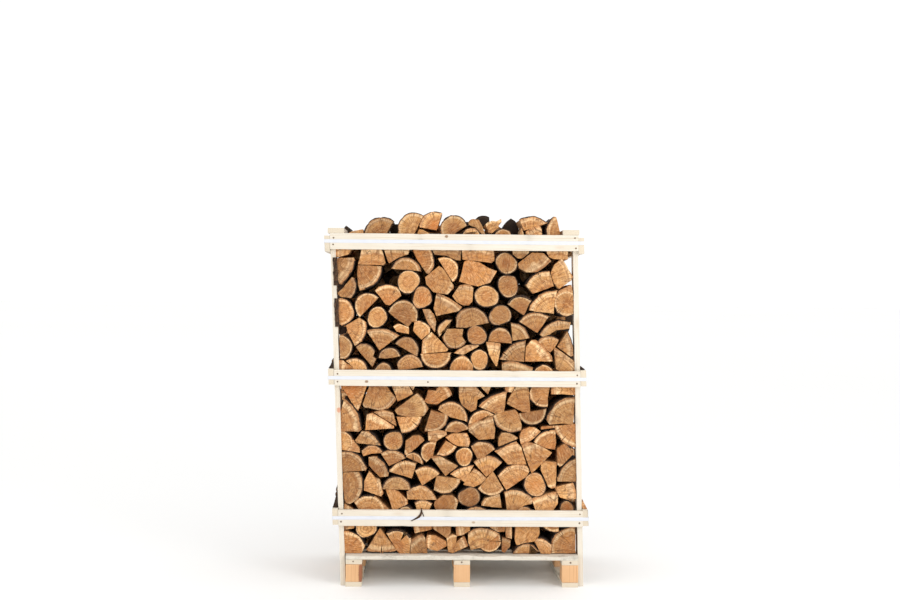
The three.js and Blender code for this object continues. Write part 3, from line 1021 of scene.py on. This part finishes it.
def sawn_birch():
    """End grain: rings 3.4 mm apart, rays, fine checks, saw fur and a stained heart."""
    material, tree = new_material("sawn_birch", Roughness=0.88)
    pale, orange, depth, grain_map, place = log_tone(tree)
    flat = add_node(tree, "ShaderNodeSeparateXYZ", {"Vector": grain_map})
    angle = add_node(tree, "ShaderNodeMath", {0: flat.outputs["Y"], 1: flat.outputs["X"]},
                     operation="ARCTAN2")
    reach = add_node(tree, "ShaderNodeVectorMath", {0: grain_map}, operation="LENGTH")

    # Growth rings, bent by slow noise so that none is a true circle: the yearly ones 3.4 mm
    # apart, and the broader uneven bands that good and bad years leave.
    bend = add_node(tree, "ShaderNodeTexNoise", {"Vector": place, "Scale": 30.0, "Detail": 2.0})
    bent = add_node(tree, "ShaderNodeMath", {0: bend, 1: 0.016, 2: reach}, operation="MULTIPLY_ADD")
    phase = add_node(tree, "ShaderNodeMath", {0: bent, 1: 2 * math.pi / (3.4 * MM)},
                     operation="MULTIPLY")
    ring_wave = add_node(tree, "ShaderNodeMath", {0: phase}, operation="SINE")
    years = add_node(tree, "ShaderNodeCombineXYZ", {"X": bent, "Z": depth})
    good_years = add_node(tree, "ShaderNodeTexNoise", {"Vector": years, "Scale": 105.0,
                                                       "Detail": 2.0})

    # Rays and checks lie along the radius. The noise they come from is laid out by angle and
    # reach, the rays' finely and the checks' slowly.
    polar = []
    for turns, steps in ((16.0, 26.0), (3.0, 9.0)):
        turn = add_node(tree, "ShaderNodeMath", {0: angle, 1: turns}, operation="MULTIPLY")
        out = add_node(tree, "ShaderNodeMath", {0: reach, 1: steps}, operation="MULTIPLY")
        polar.append(add_node(tree, "ShaderNodeCombineXYZ", {"X": turn, "Y": out, "Z": depth}))
    rays = add_node(tree, "ShaderNodeTexNoise", {"Vector": polar[0], "Scale": 1.0, "Detail": 4.0,
                                                 "Roughness": 0.65})
    slow = add_node(tree, "ShaderNodeTexNoise", {"Vector": polar[1], "Scale": 1.0, "Detail": 1.0})

    # Checks are where the slow noise passes its middle value, which it does on thin lines.
    off_middle = add_node(tree, "ShaderNodeMath", {0: slow, 1: 0.5}, operation="SUBTRACT")
    nearness = add_node(tree, "ShaderNodeMath", {0: off_middle}, operation="ABSOLUTE")
    checks = add_node(tree, "ShaderNodeMapRange", {
        "Value": nearness, "From Min": 0.002, "From Max": 0.012, "To Min": 0.6, "To Max": 0.0})

    # The saw's fur runs one way on each end. Torn fibres are 1.5 mm wide, drawn at 2 mm to show.
    saw_turn = add_node(tree, "ShaderNodeVectorRotate", {"Vector": place, "Angle": depth},
                        rotation_type="Z_AXIS")
    fur = stretched_noise(tree, saw_turn, (500.0, 38.0, 1.0), Detail=3.0, Roughness=0.7)
    cloud = add_node(tree, "ShaderNodeTexNoise", {"Vector": place, "Scale": 26.0, "Detail": 5.0,
                                                  "Roughness": 0.6})

    # Where a point lies between the pith, at 0, and the bark, at 1, with an uneven edge.
    tone = add_node(tree, "ShaderNodeAttribute", attribute_name="tone")
    ratio = add_node(tree, "ShaderNodeMath", {0: reach, 1: tone.outputs["Alpha"]}, operation="DIVIDE")
    uneven = add_node(tree, "ShaderNodeMath", {0: cloud, 1: 0.5}, operation="SUBTRACT")
    age = add_node(tree, "ShaderNodeMath", {0: uneven, 1: 0.45, 2: ratio}, operation="MULTIPLY_ADD")

    # Each layer's share follows a pattern, and changes between two of its values from the first
    # share to the last. Saw fur and yearly rings change evenly, the others softly.
    rings, furred = (add_node(tree, "ShaderNodeMapRange", {
        "Value": pattern, "From Min": low, "From Max": high, "To Max": last})
        for pattern, low, high, last in ((ring_wave, -0.2, 1.0, 0.34), (fur, 0.5, 0.74, 0.8)))
    blotch, young, under_bark, bands, rayed, heart = (add_node(tree, "ShaderNodeMapRange", {
        "Value": pattern, "From Min": low, "From Max": high, "To Min": first, "To Max": last},
        interpolation_type="SMOOTHSTEP") for pattern, low, high, first, last in (
            (cloud, 0.38, 0.66, 0.0, 0.8), (age, 0.77, 0.88, 0.0, 0.85), (ratio, 0.9, 0.97, 0.0, 0.75),
            (good_years, 0.42, 0.62, 0.0, 0.62), (rays, 0.42, 0.72, 0.0, 0.9),
            (age, 0.2, 0.75, 1.0, 0.1)))
    stain = add_node(tree, "ShaderNodeMath", {0: heart, 1: orange}, operation="MULTIPLY")

    # Dull or pale wood, patches of tan, the stained heart, the pale young wood and its brown rim.
    # Over them lie the years, the rays, the fur and the checks.
    colour = lay_coats(tree, srgb("#985a26"), (pale, "#f2c07f"), (blotch, "#c4843f"),
                       (stain, "#ba6c2a"), (young, "#fad6a4"), (under_bark, "#b06a28"),
                       (bands, "#8c4f20"), (rings, "#8a5730"), (rayed, "#7d4f2b"),
                       (furred, "#eec490"), (checks, "#3e2614"))
    relief = add_node(tree, "ShaderNodeMath", {0: fur, 1: rays}, operation="ADD")
    opened = add_node(tree, "ShaderNodeMath", {0: relief, 1: checks}, operation="SUBTRACT")
    join_finish(tree, log_shade(tree, colour, pale, depth), opened, strength=0.5, depth=1.2 * MM)
    return material


sawn_end = sawn_birch()
print("finish:", sawn_end.name)

# %% [markdown]
# Bark off the lower trunk is dark, ridged and dry, nearly black in the cracks. A split face is
# clean wood torn along the fibres, so its streaks run the length of the log.

# %% Bark and split wood
def birch_bark():
    """Rough dark bark: ridges 6 mm wide along the log, with paler scales on their tops."""
    material, tree = new_material("birch_bark", Roughness=0.95)
    pale, _, _, _, place = log_tone(tree)
    stretched = add_node(tree, "ShaderNodeVectorMath", {0: place, 1: (160.0, 45.0, 1.0)},
                         operation="MULTIPLY")
    ridges = add_node(tree, "ShaderNodeTexNoise", {"Vector": stretched, "Scale": 1.0, "Detail": 5.0,
                                                   "Roughness": 0.7})
    scales = add_node(tree, "ShaderNodeTexVoronoi", {"Vector": stretched, "Scale": 0.7})
    lift = add_node(tree, "ShaderNodeMapRange", {"Value": ridges, "From Min": 0.4, "From Max": 0.72},
                    interpolation_type="SMOOTHSTEP")
    tops = lay_coats(tree, srgb("#4d3422"), (pale, "#765439"))
    colour = add_node(tree, "ShaderNodeMix", {"Factor": lift, "A": srgb("#21150c"), "B": tops},
                      data_type="RGBA").outputs[2]
    relief = add_node(tree, "ShaderNodeMath", {0: ridges, 1: scales}, operation="ADD")
    join_finish(tree, colour, relief, strength=0.9, depth=2.5 * MM)
    return material


def split_birch():
    """A split face: tan wood with long torn fibres 2 mm wide."""
    material, tree = new_material("split_birch", Roughness=0.8)
    pale, orange, depth, _, place = log_tone(tree)
    fibres = stretched_noise(tree, place, (450.0, 9.0, 1.0), Detail=4.0, Roughness=0.6)
    bands = stretched_noise(tree, place, (40.0, 5.0, 1.0), Detail=3.0)
    stain = add_node(tree, "ShaderNodeMath", {0: bands, 1: orange}, operation="MULTIPLY")
    torn = add_node(tree, "ShaderNodeMapRange", {"Value": fibres, "From Min": 0.4, "From Max": 0.72,
                                                 "To Max": 0.85})
    colour = lay_coats(tree, srgb("#a8723f"), (pale, "#e2b882"), (stain, "#a5632f"), (torn, "#74492a"))
    join_finish(tree, log_shade(tree, colour, pale, depth), fibres, strength=0.7, depth=2 * MM)
    return material


bark_finish = birch_bark()
split_finish = split_birch()
print("finishes:", bark_finish.name, split_finish.name)

# %% [markdown]
# ## Filling the crate
#
# Three rows of logs stand one behind the other. The front row is the sheet as written. The middle
# row is the sheet turned over left for right, and the back row is that one stood on its head, so
# that no gap runs straight through. Both are drawn in a little at the right, where daylight shows
# past the posts. The middle row is packed tightest, with kindling in its holes, most of it painted
# nearly black as the shade in those holes, and a few of its logs jut out over the side rails in
# place of the ones that would lie there. Each row is joined by kind of log, so the wall is a
# handful of meshes.

# %% Three rows
DRAW_IN = 0.985
PAST_POST = 0.5
SHEET_TOP = 143.5
SWELL = {"front": 1.5 * MM, "middle": 8 * MM, "back": 2 * MM}
CLEAR_ACROSS, CLEAR_UP = 6, 5
HEAP_WIDTH, HEAP_ASIDE, HEAP_DROP = 0.95, 3.2, 1.2

# Kindling pushed into the holes of the middle row, as rounds on the sheet. All but the two b rounds are
# letter k, painted nearly black as the shade in those holes.
KINDLING = """
k r2.2 98.1,154.6
k r4.2 83.4,131.2
k r3.2 105,103.2
k r3 54.2,72.6
k r2.4 0.4,124.6
k r2.1 0.3,121
k r2.5 0.4,104
k r2.4 0.2,71.4
k r2.4 0.2,66.2
k r3.2 106.2,105.6
k r1.5 110.6,109.2
k r3 110.2,91.4
k r2.4 110.4,27
k r2.4 110.4,8
k r2 61.6,154.1
k r2.4 22.5,126.4
k r2 13.5,120.9
k r2 43.5,116.2
k r2 25.7,109.6
k r2 99.3,110.2
k r2 72.9,95.6
k r2.4 39.6,93.4
k r2.2 17.4,57.6
k r1.6 54,122.5
b r1.6 106.2,139.6
b r1.8 109.2,44.6
"""


def turned_over(log):
    """The same log on the other side of the sheet, with the row a little past the left posts."""
    flipped = [((SHEET_WIDTH - x) * DRAW_IN - PAST_POST, z) for x, z in reversed(log["corners"])]
    return {**log, "corners": flipped}


def upended(log):
    """The same log with the sheet stood on its head, drawn in towards the left post."""
    turned = [((SHEET_WIDTH - x) * DRAW_IN, SHEET_TOP - z) for x, z in log["corners"]]
    return {**log, "corners": turned}


def kind_of(log):
    """Which joined mesh a log belongs to."""
    if log["round"]:
        return "branch"
    if len(log["corners"]) == 2:
        return "half"
    return "wedge" if len(log["corners"]) <= 4 else "chunk"


def middle_of(log):
    """Mean corner of a log on the sheet."""
    xs, zs = zip(*log["corners"])
    return sum(xs) / len(xs), sum(zs) / len(zs)


def add_log(group, log, front, back, dice, swell=0.0):
    """Builds a log and adds it to a group of mesh data."""
    vertices, faces, finishes, grain, seed, reach = build_log(log, front, back, dice, swell)
    start = len(group["v"])
    group["v"] += vertices
    group["f"] += [tuple(start + v for v in face) for face in faces]
    group["m"] += finishes
    group["uv"] += [corner for face in grain for corner in face]
    pale, orange = TONES[log["letter"].lower()]
    # Letter k keeps no paleness, so log_shade paints it nearly black, as shade.
    if pale > 0:
        pale = max(0.1, pale + dice.uniform(-0.3, 0.3))
    tone = (pale, orange + dice.uniform(-0.3, 0.3), seed / 50, reach)
    group["tone"] += [tuple(max(0.0, v) for v in tone)] * len(vertices)


def empty_group():
    return {"v": [], "f": [], "m": [], "uv": [], "tone": []}


def piece_from(name, group, node=None):
    """Turns a group of logs into one piece, in the place of a CAD node if one is given."""
    mesh = bpy.data.meshes.new(name)
    mesh.from_pydata(group["v"], [], group["f"])
    for finish in (bark_finish, split_finish, sawn_end):
        mesh.materials.append(finish)
    mesh.polygons.foreach_set("material_index", group["m"])
    mesh.polygons.foreach_set("use_smooth", [m != SAWN for m in group["m"]])
    layer = mesh.uv_layers.new(name="grain")
    layer.data.foreach_set("uv", [v for corner in group["uv"] for v in corner])
    tone_layer = mesh.color_attributes.new("tone", "FLOAT_COLOR", "POINT")
    tone_layer.data.foreach_set("color", [v for tone in group["tone"] for v in tone])
    mesh.set_sharp_from_angle(angle=math.radians(42))
    mesh.update()
    add_piece(mesh, node)
    print(name, "has", sum(len(face) - 2 for face in group["f"]), "triangles")


def add_row(row, logs, kinds):
    """Builds every log of a row and joins them into one piece for each kind."""
    low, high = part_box(f"log_row_{row}")
    dice = random.Random(f"logs of the {row} row")
    groups = {kind: empty_group() for kind in kinds}
    for log in logs:
        kind = kind_of(log)
        add_log(groups[kind if kind in groups else kinds[-1]], log, low.y, high.y, dice, SWELL[row])
    for kind, group in groups.items():
        piece_from(f"{row}_row_{kind}_logs", group, f"log_row_{row}")


sheet = [log for band in BANDS for log in read_sheet(band)]
side_logs = read_sheet(SIDE_LOGS)
side_places = [middle_of(log) for log in side_logs]


def clear_of_side_logs(log):
    """True if no log that juts out over a side rail already fills this place."""
    x, z = middle_of(log)
    return all(abs(x - sx) > CLEAR_ACROSS or abs(z - sz) > CLEAR_UP for sx, sz in side_places)


def settled(log):
    """The same log of the heap, drawn in and lowered for the back row."""
    corners = [(x * HEAP_WIDTH + HEAP_ASIDE, z - HEAP_DROP) for x, z in log["corners"]]
    return {**log, "corners": corners}


rear_heap = read_sheet(REAR_HEAP)
middle_logs = [log for log in map(turned_over, sheet) if clear_of_side_logs(log)]
add_row("front", sheet + read_sheet(FRONT_HEAP), ("branch", "half", "wedge", "chunk"))
add_row("middle", middle_logs + side_logs + read_sheet(KINDLING) + rear_heap, ("branch", "wedge"))
add_row("back", [upended(log) for log in sheet] + [settled(log) for log in rear_heap],
        ("branch", "half", "wedge", "chunk"))

# %% [markdown]
# Slabs of bark and thin offcuts have slipped out and lie on the side rails, against the outside
# of the front posts. They are written like the logs, and run back from just before the posts.

# %% Slabs on the side rails
# The three slabs of letter k have their split and sawn faces painted nearly black, as shade on the side
# rails.
SLABS = """
k 0.5 -2.6,21.5 -2.6,29.3 -4.9,21.5
k 0.5 -2.6,86.5 -2.7,89.9 -4.8,86.5
k 0.3 111.9,86.5 113.8,86.5 112,87.9
o 0.3 111.6,21.5 113.8,21.5 111.7,25.6
"""

SLAB_FORE, SLAB_BACK = 6 * MM, 190 * MM

slabs = empty_group()
slab_dice = random.Random("slabs")
post_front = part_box("post_front_left")[0].y
for log in read_sheet(SLABS):
    add_log(slabs, log, post_front - SLAB_FORE, post_front + SLAB_BACK, slab_dice)
piece_from("slabs_on_side_rails", slabs)

# %% [markdown]
# ## Nails
#
# Most joints have two flat-headed nails. A nail head is a small disc that repeats in
# dozens of places, which is work for Geometry Nodes: the script gives the points and the way
# each head faces, and the tree puts a head on every point and turns it to lie flat.

# %% Nail steel
nail_steel, nail_tree = new_material("dull_nail_steel", Metallic=0.8, Roughness=0.5)
rust = add_node(nail_tree, "ShaderNodeTexNoise", {"Scale": 900.0, "Detail": 3.0})
join_finish(nail_tree, lay_coats(nail_tree, srgb("#756b60"), (rust, "#866a52")))
print("nail finish:", nail_steel.name)


# %% The nail head tree
def nail_tree_group():
    """A tree that puts one round head on every point, facing along the point's own direction."""
    tree = bpy.data.node_groups.new("nail_heads", "GeometryNodeTree")
    sockets = (("Geometry", "NodeSocketGeometry"), ("Head diameter", "NodeSocketFloat"),
               ("Head thickness", "NodeSocketFloat"), ("Seed", "NodeSocketInt"))
    for name, kind in sockets:
        tree.interface.new_socket(name, in_out="INPUT", socket_type=kind)
    tree.interface.new_socket("Geometry", in_out="OUTPUT", socket_type="NodeSocketGeometry")
    given = add_node(tree, "NodeGroupInput")
    radius = add_node(tree, "ShaderNodeMath", {0: given.outputs["Head diameter"], 1: 0.5},
                      operation="MULTIPLY")
    disc = add_node(tree, "GeometryNodeMeshCylinder", {
        "Vertices": 14, "Radius": radius, "Depth": given.outputs["Head thickness"]})
    facing = add_node(tree, "GeometryNodeInputNamedAttribute", {"Name": "facing"},
                      data_type="FLOAT_VECTOR")
    turned = add_node(tree, "FunctionNodeAlignRotationToVector", {"Vector": facing.outputs[0]},
                      axis="Z")
    size = add_node(tree, "FunctionNodeRandomValue", {"Seed": given.outputs["Seed"], 2: 0.88, 3: 1.12},
                    data_type="FLOAT")
    heads = add_node(tree, "GeometryNodeInstanceOnPoints", {
        "Points": given.outputs["Geometry"], "Instance": disc.outputs["Mesh"],
        "Rotation": turned, "Scale": size.outputs[1]})
    real = add_node(tree, "GeometryNodeRealizeInstances", {"Geometry": heads})
    coated = add_node(tree, "GeometryNodeSetMaterial", {"Geometry": real, "Material": nail_steel})
    add_node(tree, "NodeGroupOutput", {"Geometry": coated})
    return tree


def mesh_from_modifier(points, directions, tree, name, settings):
    """Runs a tree on points that each face a way, and returns the result as a plain mesh."""
    cloud = bpy.data.meshes.new(name + "_points")
    cloud.from_pydata(points, [], [])
    facing = cloud.attributes.new("facing", "FLOAT_VECTOR", "POINT")
    facing.data.foreach_set("vector", [v for way in directions for v in way])
    holder = bpy.data.objects.new(name + "_points", cloud)
    bpy.context.scene.collection.objects.link(holder)
    modifier = holder.modifiers.new("nodes", "NODES")
    modifier.node_group = tree
    for item in tree.interface.items_tree:
        if item.in_out == "INPUT" and item.name in settings:
            modifier[item.identifier] = settings[item.name]
    graph = bpy.context.evaluated_depsgraph_get()
    made = bpy.data.meshes.new_from_object(holder.evaluated_get(graph))
    bpy.data.objects.remove(holder)
    made.name = name
    return made


# %% Where the nails are
NAIL_HEAD = 8 * MM
NAIL_HEAD_THICKNESS = 1.4 * MM
NAIL_JITTER = 3
RAIL_INSET = 9 * MM
RAIL_SPREAD = {"left": 17, "right": 22}
SIDE_SPREAD = 18
TOP_SPREAD = 20
ODD_NAIL_X = -0.1358
ODD_NAIL_DROP = 15 * MM
SIDE_RAIL = 26 * MM
GAP = 0.3 * MM


def nail_places():
    """Points on the boards' faces and the way each head faces."""
    dice = random.Random("nails")
    places = []

    def drive(x, y, z, way):
        jitter = [dice.uniform(-NAIL_JITTER, NAIL_JITTER) * MM if part == 0 else 0 for part in way]
        places.append(((x + jitter[0], y + jitter[1], z + jitter[2]), way))

    posts = (("left", left_foot, left_lean, -1), ("right", right_foot, right_lean, 1))
    post_middles = [sum(v.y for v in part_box(f"post_{face}_left")) / 2 for face in ("front", "back")]
    for tier in TIERS:
        for face, way in (("front", -1), ("back", 1)):
            low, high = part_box(f"rail_{face}_{tier}")
            face_y = low.y if way < 0 else high.y
            z = (low.z + high.z) / 2
            for side, foot_x, lean, out in posts:
                for up in (-RAIL_SPREAD[side], RAIL_SPREAD[side]):
                    drive(foot_x + lean * z + out * RAIL_INSET, face_y, z + up * MM, (0, way, 0))
            if (face, tier) == ("front", "middle"):
                drive(ODD_NAIL_X, face_y, z - ODD_NAIL_DROP, (0, way, 0))
        for side, foot_x, lean, way in posts:
            low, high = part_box(f"rail_{side}_{tier}")
            for post_y in post_middles:
                for across in (-SIDE_SPREAD, SIDE_SPREAD):
                    z = (low.z + high.z) / 2 + dice.uniform(-SIDE_SPREAD, SIDE_SPREAD) * MM
                    outer = foot_x + lean * z + way * (POST_WIDTH + GAP + SIDE_RAIL)
                    drive(outer, post_y + across * MM, z, (way, 0, 0))
    for place in ("left", "middle", "right"):
        low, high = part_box(f"stringer_{place}")
        for face_y, way in ((low.y, -1), (high.y, 1)):
            drive((low.x + high.x) / 2, face_y, (low.z + high.z) / 2 + 2 * MM, (0, way, 0))
    for side in ("left", "right"):
        low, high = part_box(f"top_board_{side}")
        for post_y in post_middles:
            for across in (-TOP_SPREAD, TOP_SPREAD):
                drive((low.x + high.x) / 2, post_y + across * MM, high.z, (0, 0, 1))
    return places


nails = nail_places()
heads = mesh_from_modifier([p for p, _ in nails], [w for _, w in nails], nail_tree_group(),
                           "nail_heads", {"Head diameter": NAIL_HEAD,
                                          "Head thickness": NAIL_HEAD_THICKNESS, "Seed": 4})
add_piece(heads)
print("nail heads:", len(nails), "with", len(heads.polygons), "faces")

# %% [markdown]
# ## Straps
#
# Three bands of polypropylene are pulled round the rails and friction-welded at one side. The
# band is white with a blue cast, 16 mm wide and 0.9 mm thick, and rolled with a pattern of small
# diamonds. It is modelled as a closed ribbon that follows the rails and wanders by a millimetre.

# %% Strap plastic
strap_plastic, strap_tree = new_material("polypropylene_band", Roughness=0.38, IOR=1.49)
band_map = add_node(strap_tree, "ShaderNodeUVMap", uv_map="grain")
diagonal = add_node(strap_tree, "ShaderNodeVectorRotate", {"Vector": band_map, "Angle": math.pi / 4},
                    rotation_type="Z_AXIS")
diamonds = add_node(strap_tree, "ShaderNodeTexVoronoi", {
    "Vector": diagonal, "Scale": 1 / (2.4 * MM), "Randomness": 0.0}, distance="CHEBYCHEV")
scuffs = add_node(strap_tree, "ShaderNodeTexNoise", {"Vector": band_map, "Scale": 30.0, "Detail": 5.0})
join_finish(strap_tree, lay_coats(strap_tree, srgb("#dbdde4"), (scuffs, "#cdd0d8")), diamonds,
            strength=0.5, depth=0.4 * MM)
print("strap finish:", strap_plastic.name)


# %% A strap round the rails
STRAP_WIDTH = 16 * MM
STRAP_CORNER = 2 * MM
STRAP_STEP = 22 * MM
WELD_PLACE = -0.12
WELD_LENGTH = 38 * MM
WELD_THICKNESS = 1.9
RIBBON = ((0, 0), (0.85, 0), (1, 0.04), (1, 0.96), (0.85, 1), (0, 1))


def add_strap(tier):
    """A closed ribbon round one tier, with a short doubled stretch where it is welded."""
    node = f"strap_{tier}"
    low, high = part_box(node)
    seed = TIERS.index(tier) * 3.7
    x0, x1 = low.x + STRAP_THICKNESS, high.x - STRAP_THICKNESS
    y0, y1 = low.y + STRAP_THICKNESS, high.y - STRAP_THICKNESS
    path = []
    corners = ((x0, y0, 180), (x1, y0, 270), (x1, y1, 0), (x0, y1, 90))
    for (x, y, start), (nx, ny, _) in zip(corners, corners[1:] + corners[:1]):
        cx = x + (STRAP_CORNER if x == x0 else -STRAP_CORNER)
        cy = y + (STRAP_CORNER if y == y0 else -STRAP_CORNER)
        for step in range(5):
            a = math.radians(start + 22.5 * step)
            path.append((Vector((cx, cy)), Vector((math.cos(a), math.sin(a))), STRAP_CORNER))
        here, there = Vector((x, y)), Vector((nx, ny))
        out = Vector((math.cos(math.radians(start + 90)), math.sin(math.radians(start + 90))))
        span = (there - here).length
        pieces = int(span / STRAP_STEP)
        for i in range(1, pieces):
            path.append((here.lerp(there, i / pieces), out, 0.0))

    vertices, travelled, last = [], [], None
    length = 0.0
    for middle, out, radius in path:
        spot = middle + out * radius
        length += (spot - last).length if last else 0.0
        last = spot
        travelled.append(length)
        welded = out.x < -0.99 and abs(spot.y - WELD_PLACE) < WELD_LENGTH / 2
        thickness = STRAP_THICKNESS * (WELD_THICKNESS if welded else 1.0)
        wander = noise.noise(Vector((length * 2.2, seed, 0))) * 1.6 * MM
        for depth, share in RIBBON:
            at = middle + out * (radius + thickness * depth)
            vertices.append((at.x, at.y, low.z + (high.z - low.z) * share + wander))
    ring = len(RIBBON)
    total = len(path)
    bm = bmesh.new()
    made = [bm.verts.new(v) for v in vertices]
    layer = bm.loops.layers.uv.new("grain")
    for i in range(total):
        j = (i + 1) % total
        ends = (travelled[i], travelled[j] if j else length + STRAP_STEP)
        for k in range(ring):
            n = (k + 1) % ring
            face = bm.faces.new((made[i * ring + k], made[j * ring + k], made[j * ring + n],
                                 made[i * ring + n]))
            for loop, along, across in zip(face.loops, (ends[0], ends[1], ends[1], ends[0]),
                                           (k, k, n, n)):
                loop[layer].uv = (along, across * STRAP_WIDTH / ring)
    bmesh.ops.recalc_face_normals(bm, faces=bm.faces)
    mesh = bpy.data.meshes.new(f"{node}_band")
    bm.to_mesh(mesh)
    bm.free()
    mesh.materials.append(strap_plastic)
    mesh.shade_smooth()
    mesh.set_sharp_from_angle(angle=math.radians(50))
    add_piece(mesh, node)
    print(mesh.name, "is", round(length, 2), "m long")


for tier in TIERS:
    add_strap(tier)

# %% [markdown]
# ## Loose bark
#
# Bark comes away as the logs dry. Two strips have slid down against the left post, and a forked
# splinter has caught over the lowest front rail. Each is a thin curled ribbon along a bent line.

# %% Bark scraps
SCRAP_THICKNESS = 1.6 * MM
SCRAP_TONE = (0.9, 0.3, 0.2, 0.1)


def add_scrap(name, spine, widths, side, out, curl):
    """A closed ribbon of bark along a spine, wide along side, raised along out and curled."""
    steps = 5
    side, out = Vector(side), Vector(out)
    rows = []
    travelled = 0.0
    for i, (point, width) in enumerate(zip(spine, widths)):
        point = Vector(point)
        travelled += (point - Vector(spine[i - 1])).length if i else 0.0
        row = []
        for k in range(steps):
            across = k / (steps - 1) - 0.5
            rough = noise.noise(point * 90 + Vector((k, 0, 0))) * 1.5 * MM
            lift = out * (curl * (0.25 - across * across) * 4 + rough + 1.2 * MM)
            row.append((point + side * across * width + lift, travelled, across * width))
        rows.append(row)
    bm = bmesh.new()
    layer = bm.loops.layers.uv.new("grain")
    shells = [[[bm.verts.new(at - out * depth) for at, _, _ in row] for row in rows]
              for depth in (0.0, SCRAP_THICKNESS)]
    flat = {}
    for shell in shells:
        for made, row in zip(shell, rows):
            flat.update({vert: (across, along) for vert, (_, along, across) in zip(made, row)})
    quads = []
    for shell in shells:
        for a, b in zip(shell, shell[1:]):
            quads += [(a[k], a[k + 1], b[k + 1], b[k]) for k in range(steps - 1)]
    top, under = shells
    for a, b in zip(range(len(rows)), range(1, len(rows))):
        quads += [(top[a][0], top[b][0], under[b][0], under[a][0]),
                  (top[a][-1], top[b][-1], under[b][-1], under[a][-1])]
    for end in (0, -1):
        quads += [(top[end][k], top[end][k + 1], under[end][k + 1], under[end][k])
                  for k in range(steps - 1)]
    for quad in quads:
        face = bm.faces.new(quad)
        for loop in face.loops:
            loop[layer].uv = flat[loop.vert]
    bmesh.ops.recalc_face_normals(bm, faces=bm.faces)
    mesh = bpy.data.meshes.new(name)
    bm.to_mesh(mesh)
    bm.free()
    mesh.materials.append(bark_finish)
    mesh.shade_smooth()
    tone = mesh.color_attributes.new("tone", "FLOAT_COLOR", "POINT")
    tone.data.foreach_set("color", SCRAP_TONE * len(mesh.vertices))
    add_piece(mesh)
    print(name, "is", round(travelled * 1000), "mm long")


# The heights of each strip's two ends on the sheet, its place across and its mean width in mm.
STRIPS = {"bark_strip_upper": (124.8, 137.8), "bark_strip_lower": (105.6, 118.8)}
STRIP_X = -0.3
STRIP_WIDTH = 21
STRIP_POINTS = 12
for name, (low_cm, high_cm) in STRIPS.items():
    spine, widths = [], []
    for i in range(STRIP_POINTS):
        share = i / (STRIP_POINTS - 1)
        x, z = sheet_to_crate(STRIP_X, low_cm + (high_cm - low_cm) * share)
        spine.append((x + noise.noise(Vector((z * 20, 0, 0))) * 3 * MM, post_front - 1.4 * MM, z))
        widths.append((STRIP_WIDTH + noise.noise(Vector((z * 40, 5, 0))) * 8) * MM)
    add_scrap(name, spine, widths, (1, 0, 0), (0, -1, 0), 3 * MM)

# Each corner is a place on the sheet, then how far it stands off the strap and how wide the bark
# is there, both in millimetres.
SPLINTERS = {
    "bark_splinter": (
        (36.3, 22.1, 5, 6), (36.4, 21.2, 3.5, 8), (36.4, 20.3, 2, 9), (36.1, 19.4, 0.8, 10),
        (35.7, 18.5, 0.5, 11), (34.9, 17.7, 0.6, 10), (33.5, 16.9, 0.6, 8), (31.5, 15.9, 0.4, 3)),
    "bark_splinter_fork": (
        (36.5, 20.6, 3.6, 4), (36.8, 19.6, 2.6, 7), (37.1, 18.9, 1.6, 7), (37.3, 18, 0.8, 4)),
}
strap_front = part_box("rail_front_bottom")[0].y - STRAP_THICKNESS
for name, corners in SPLINTERS.items():
    spine = []
    for x_cm, z_cm, off, _ in corners:
        x, z = sheet_to_crate(x_cm, z_cm)
        spine.append((x, strap_front - off * MM, z))
    add_scrap(name, spine, [width * MM for *_, width in corners], (0.8, 0, -0.6), (0, -1, 0), 1.5 * MM)

# %% [markdown]
# ## Measuring up
#
# The CAD model's size is written out at the end.

# %% Sizes
print("CAD size", [round(v, 4) for v in cad_high - cad_low])
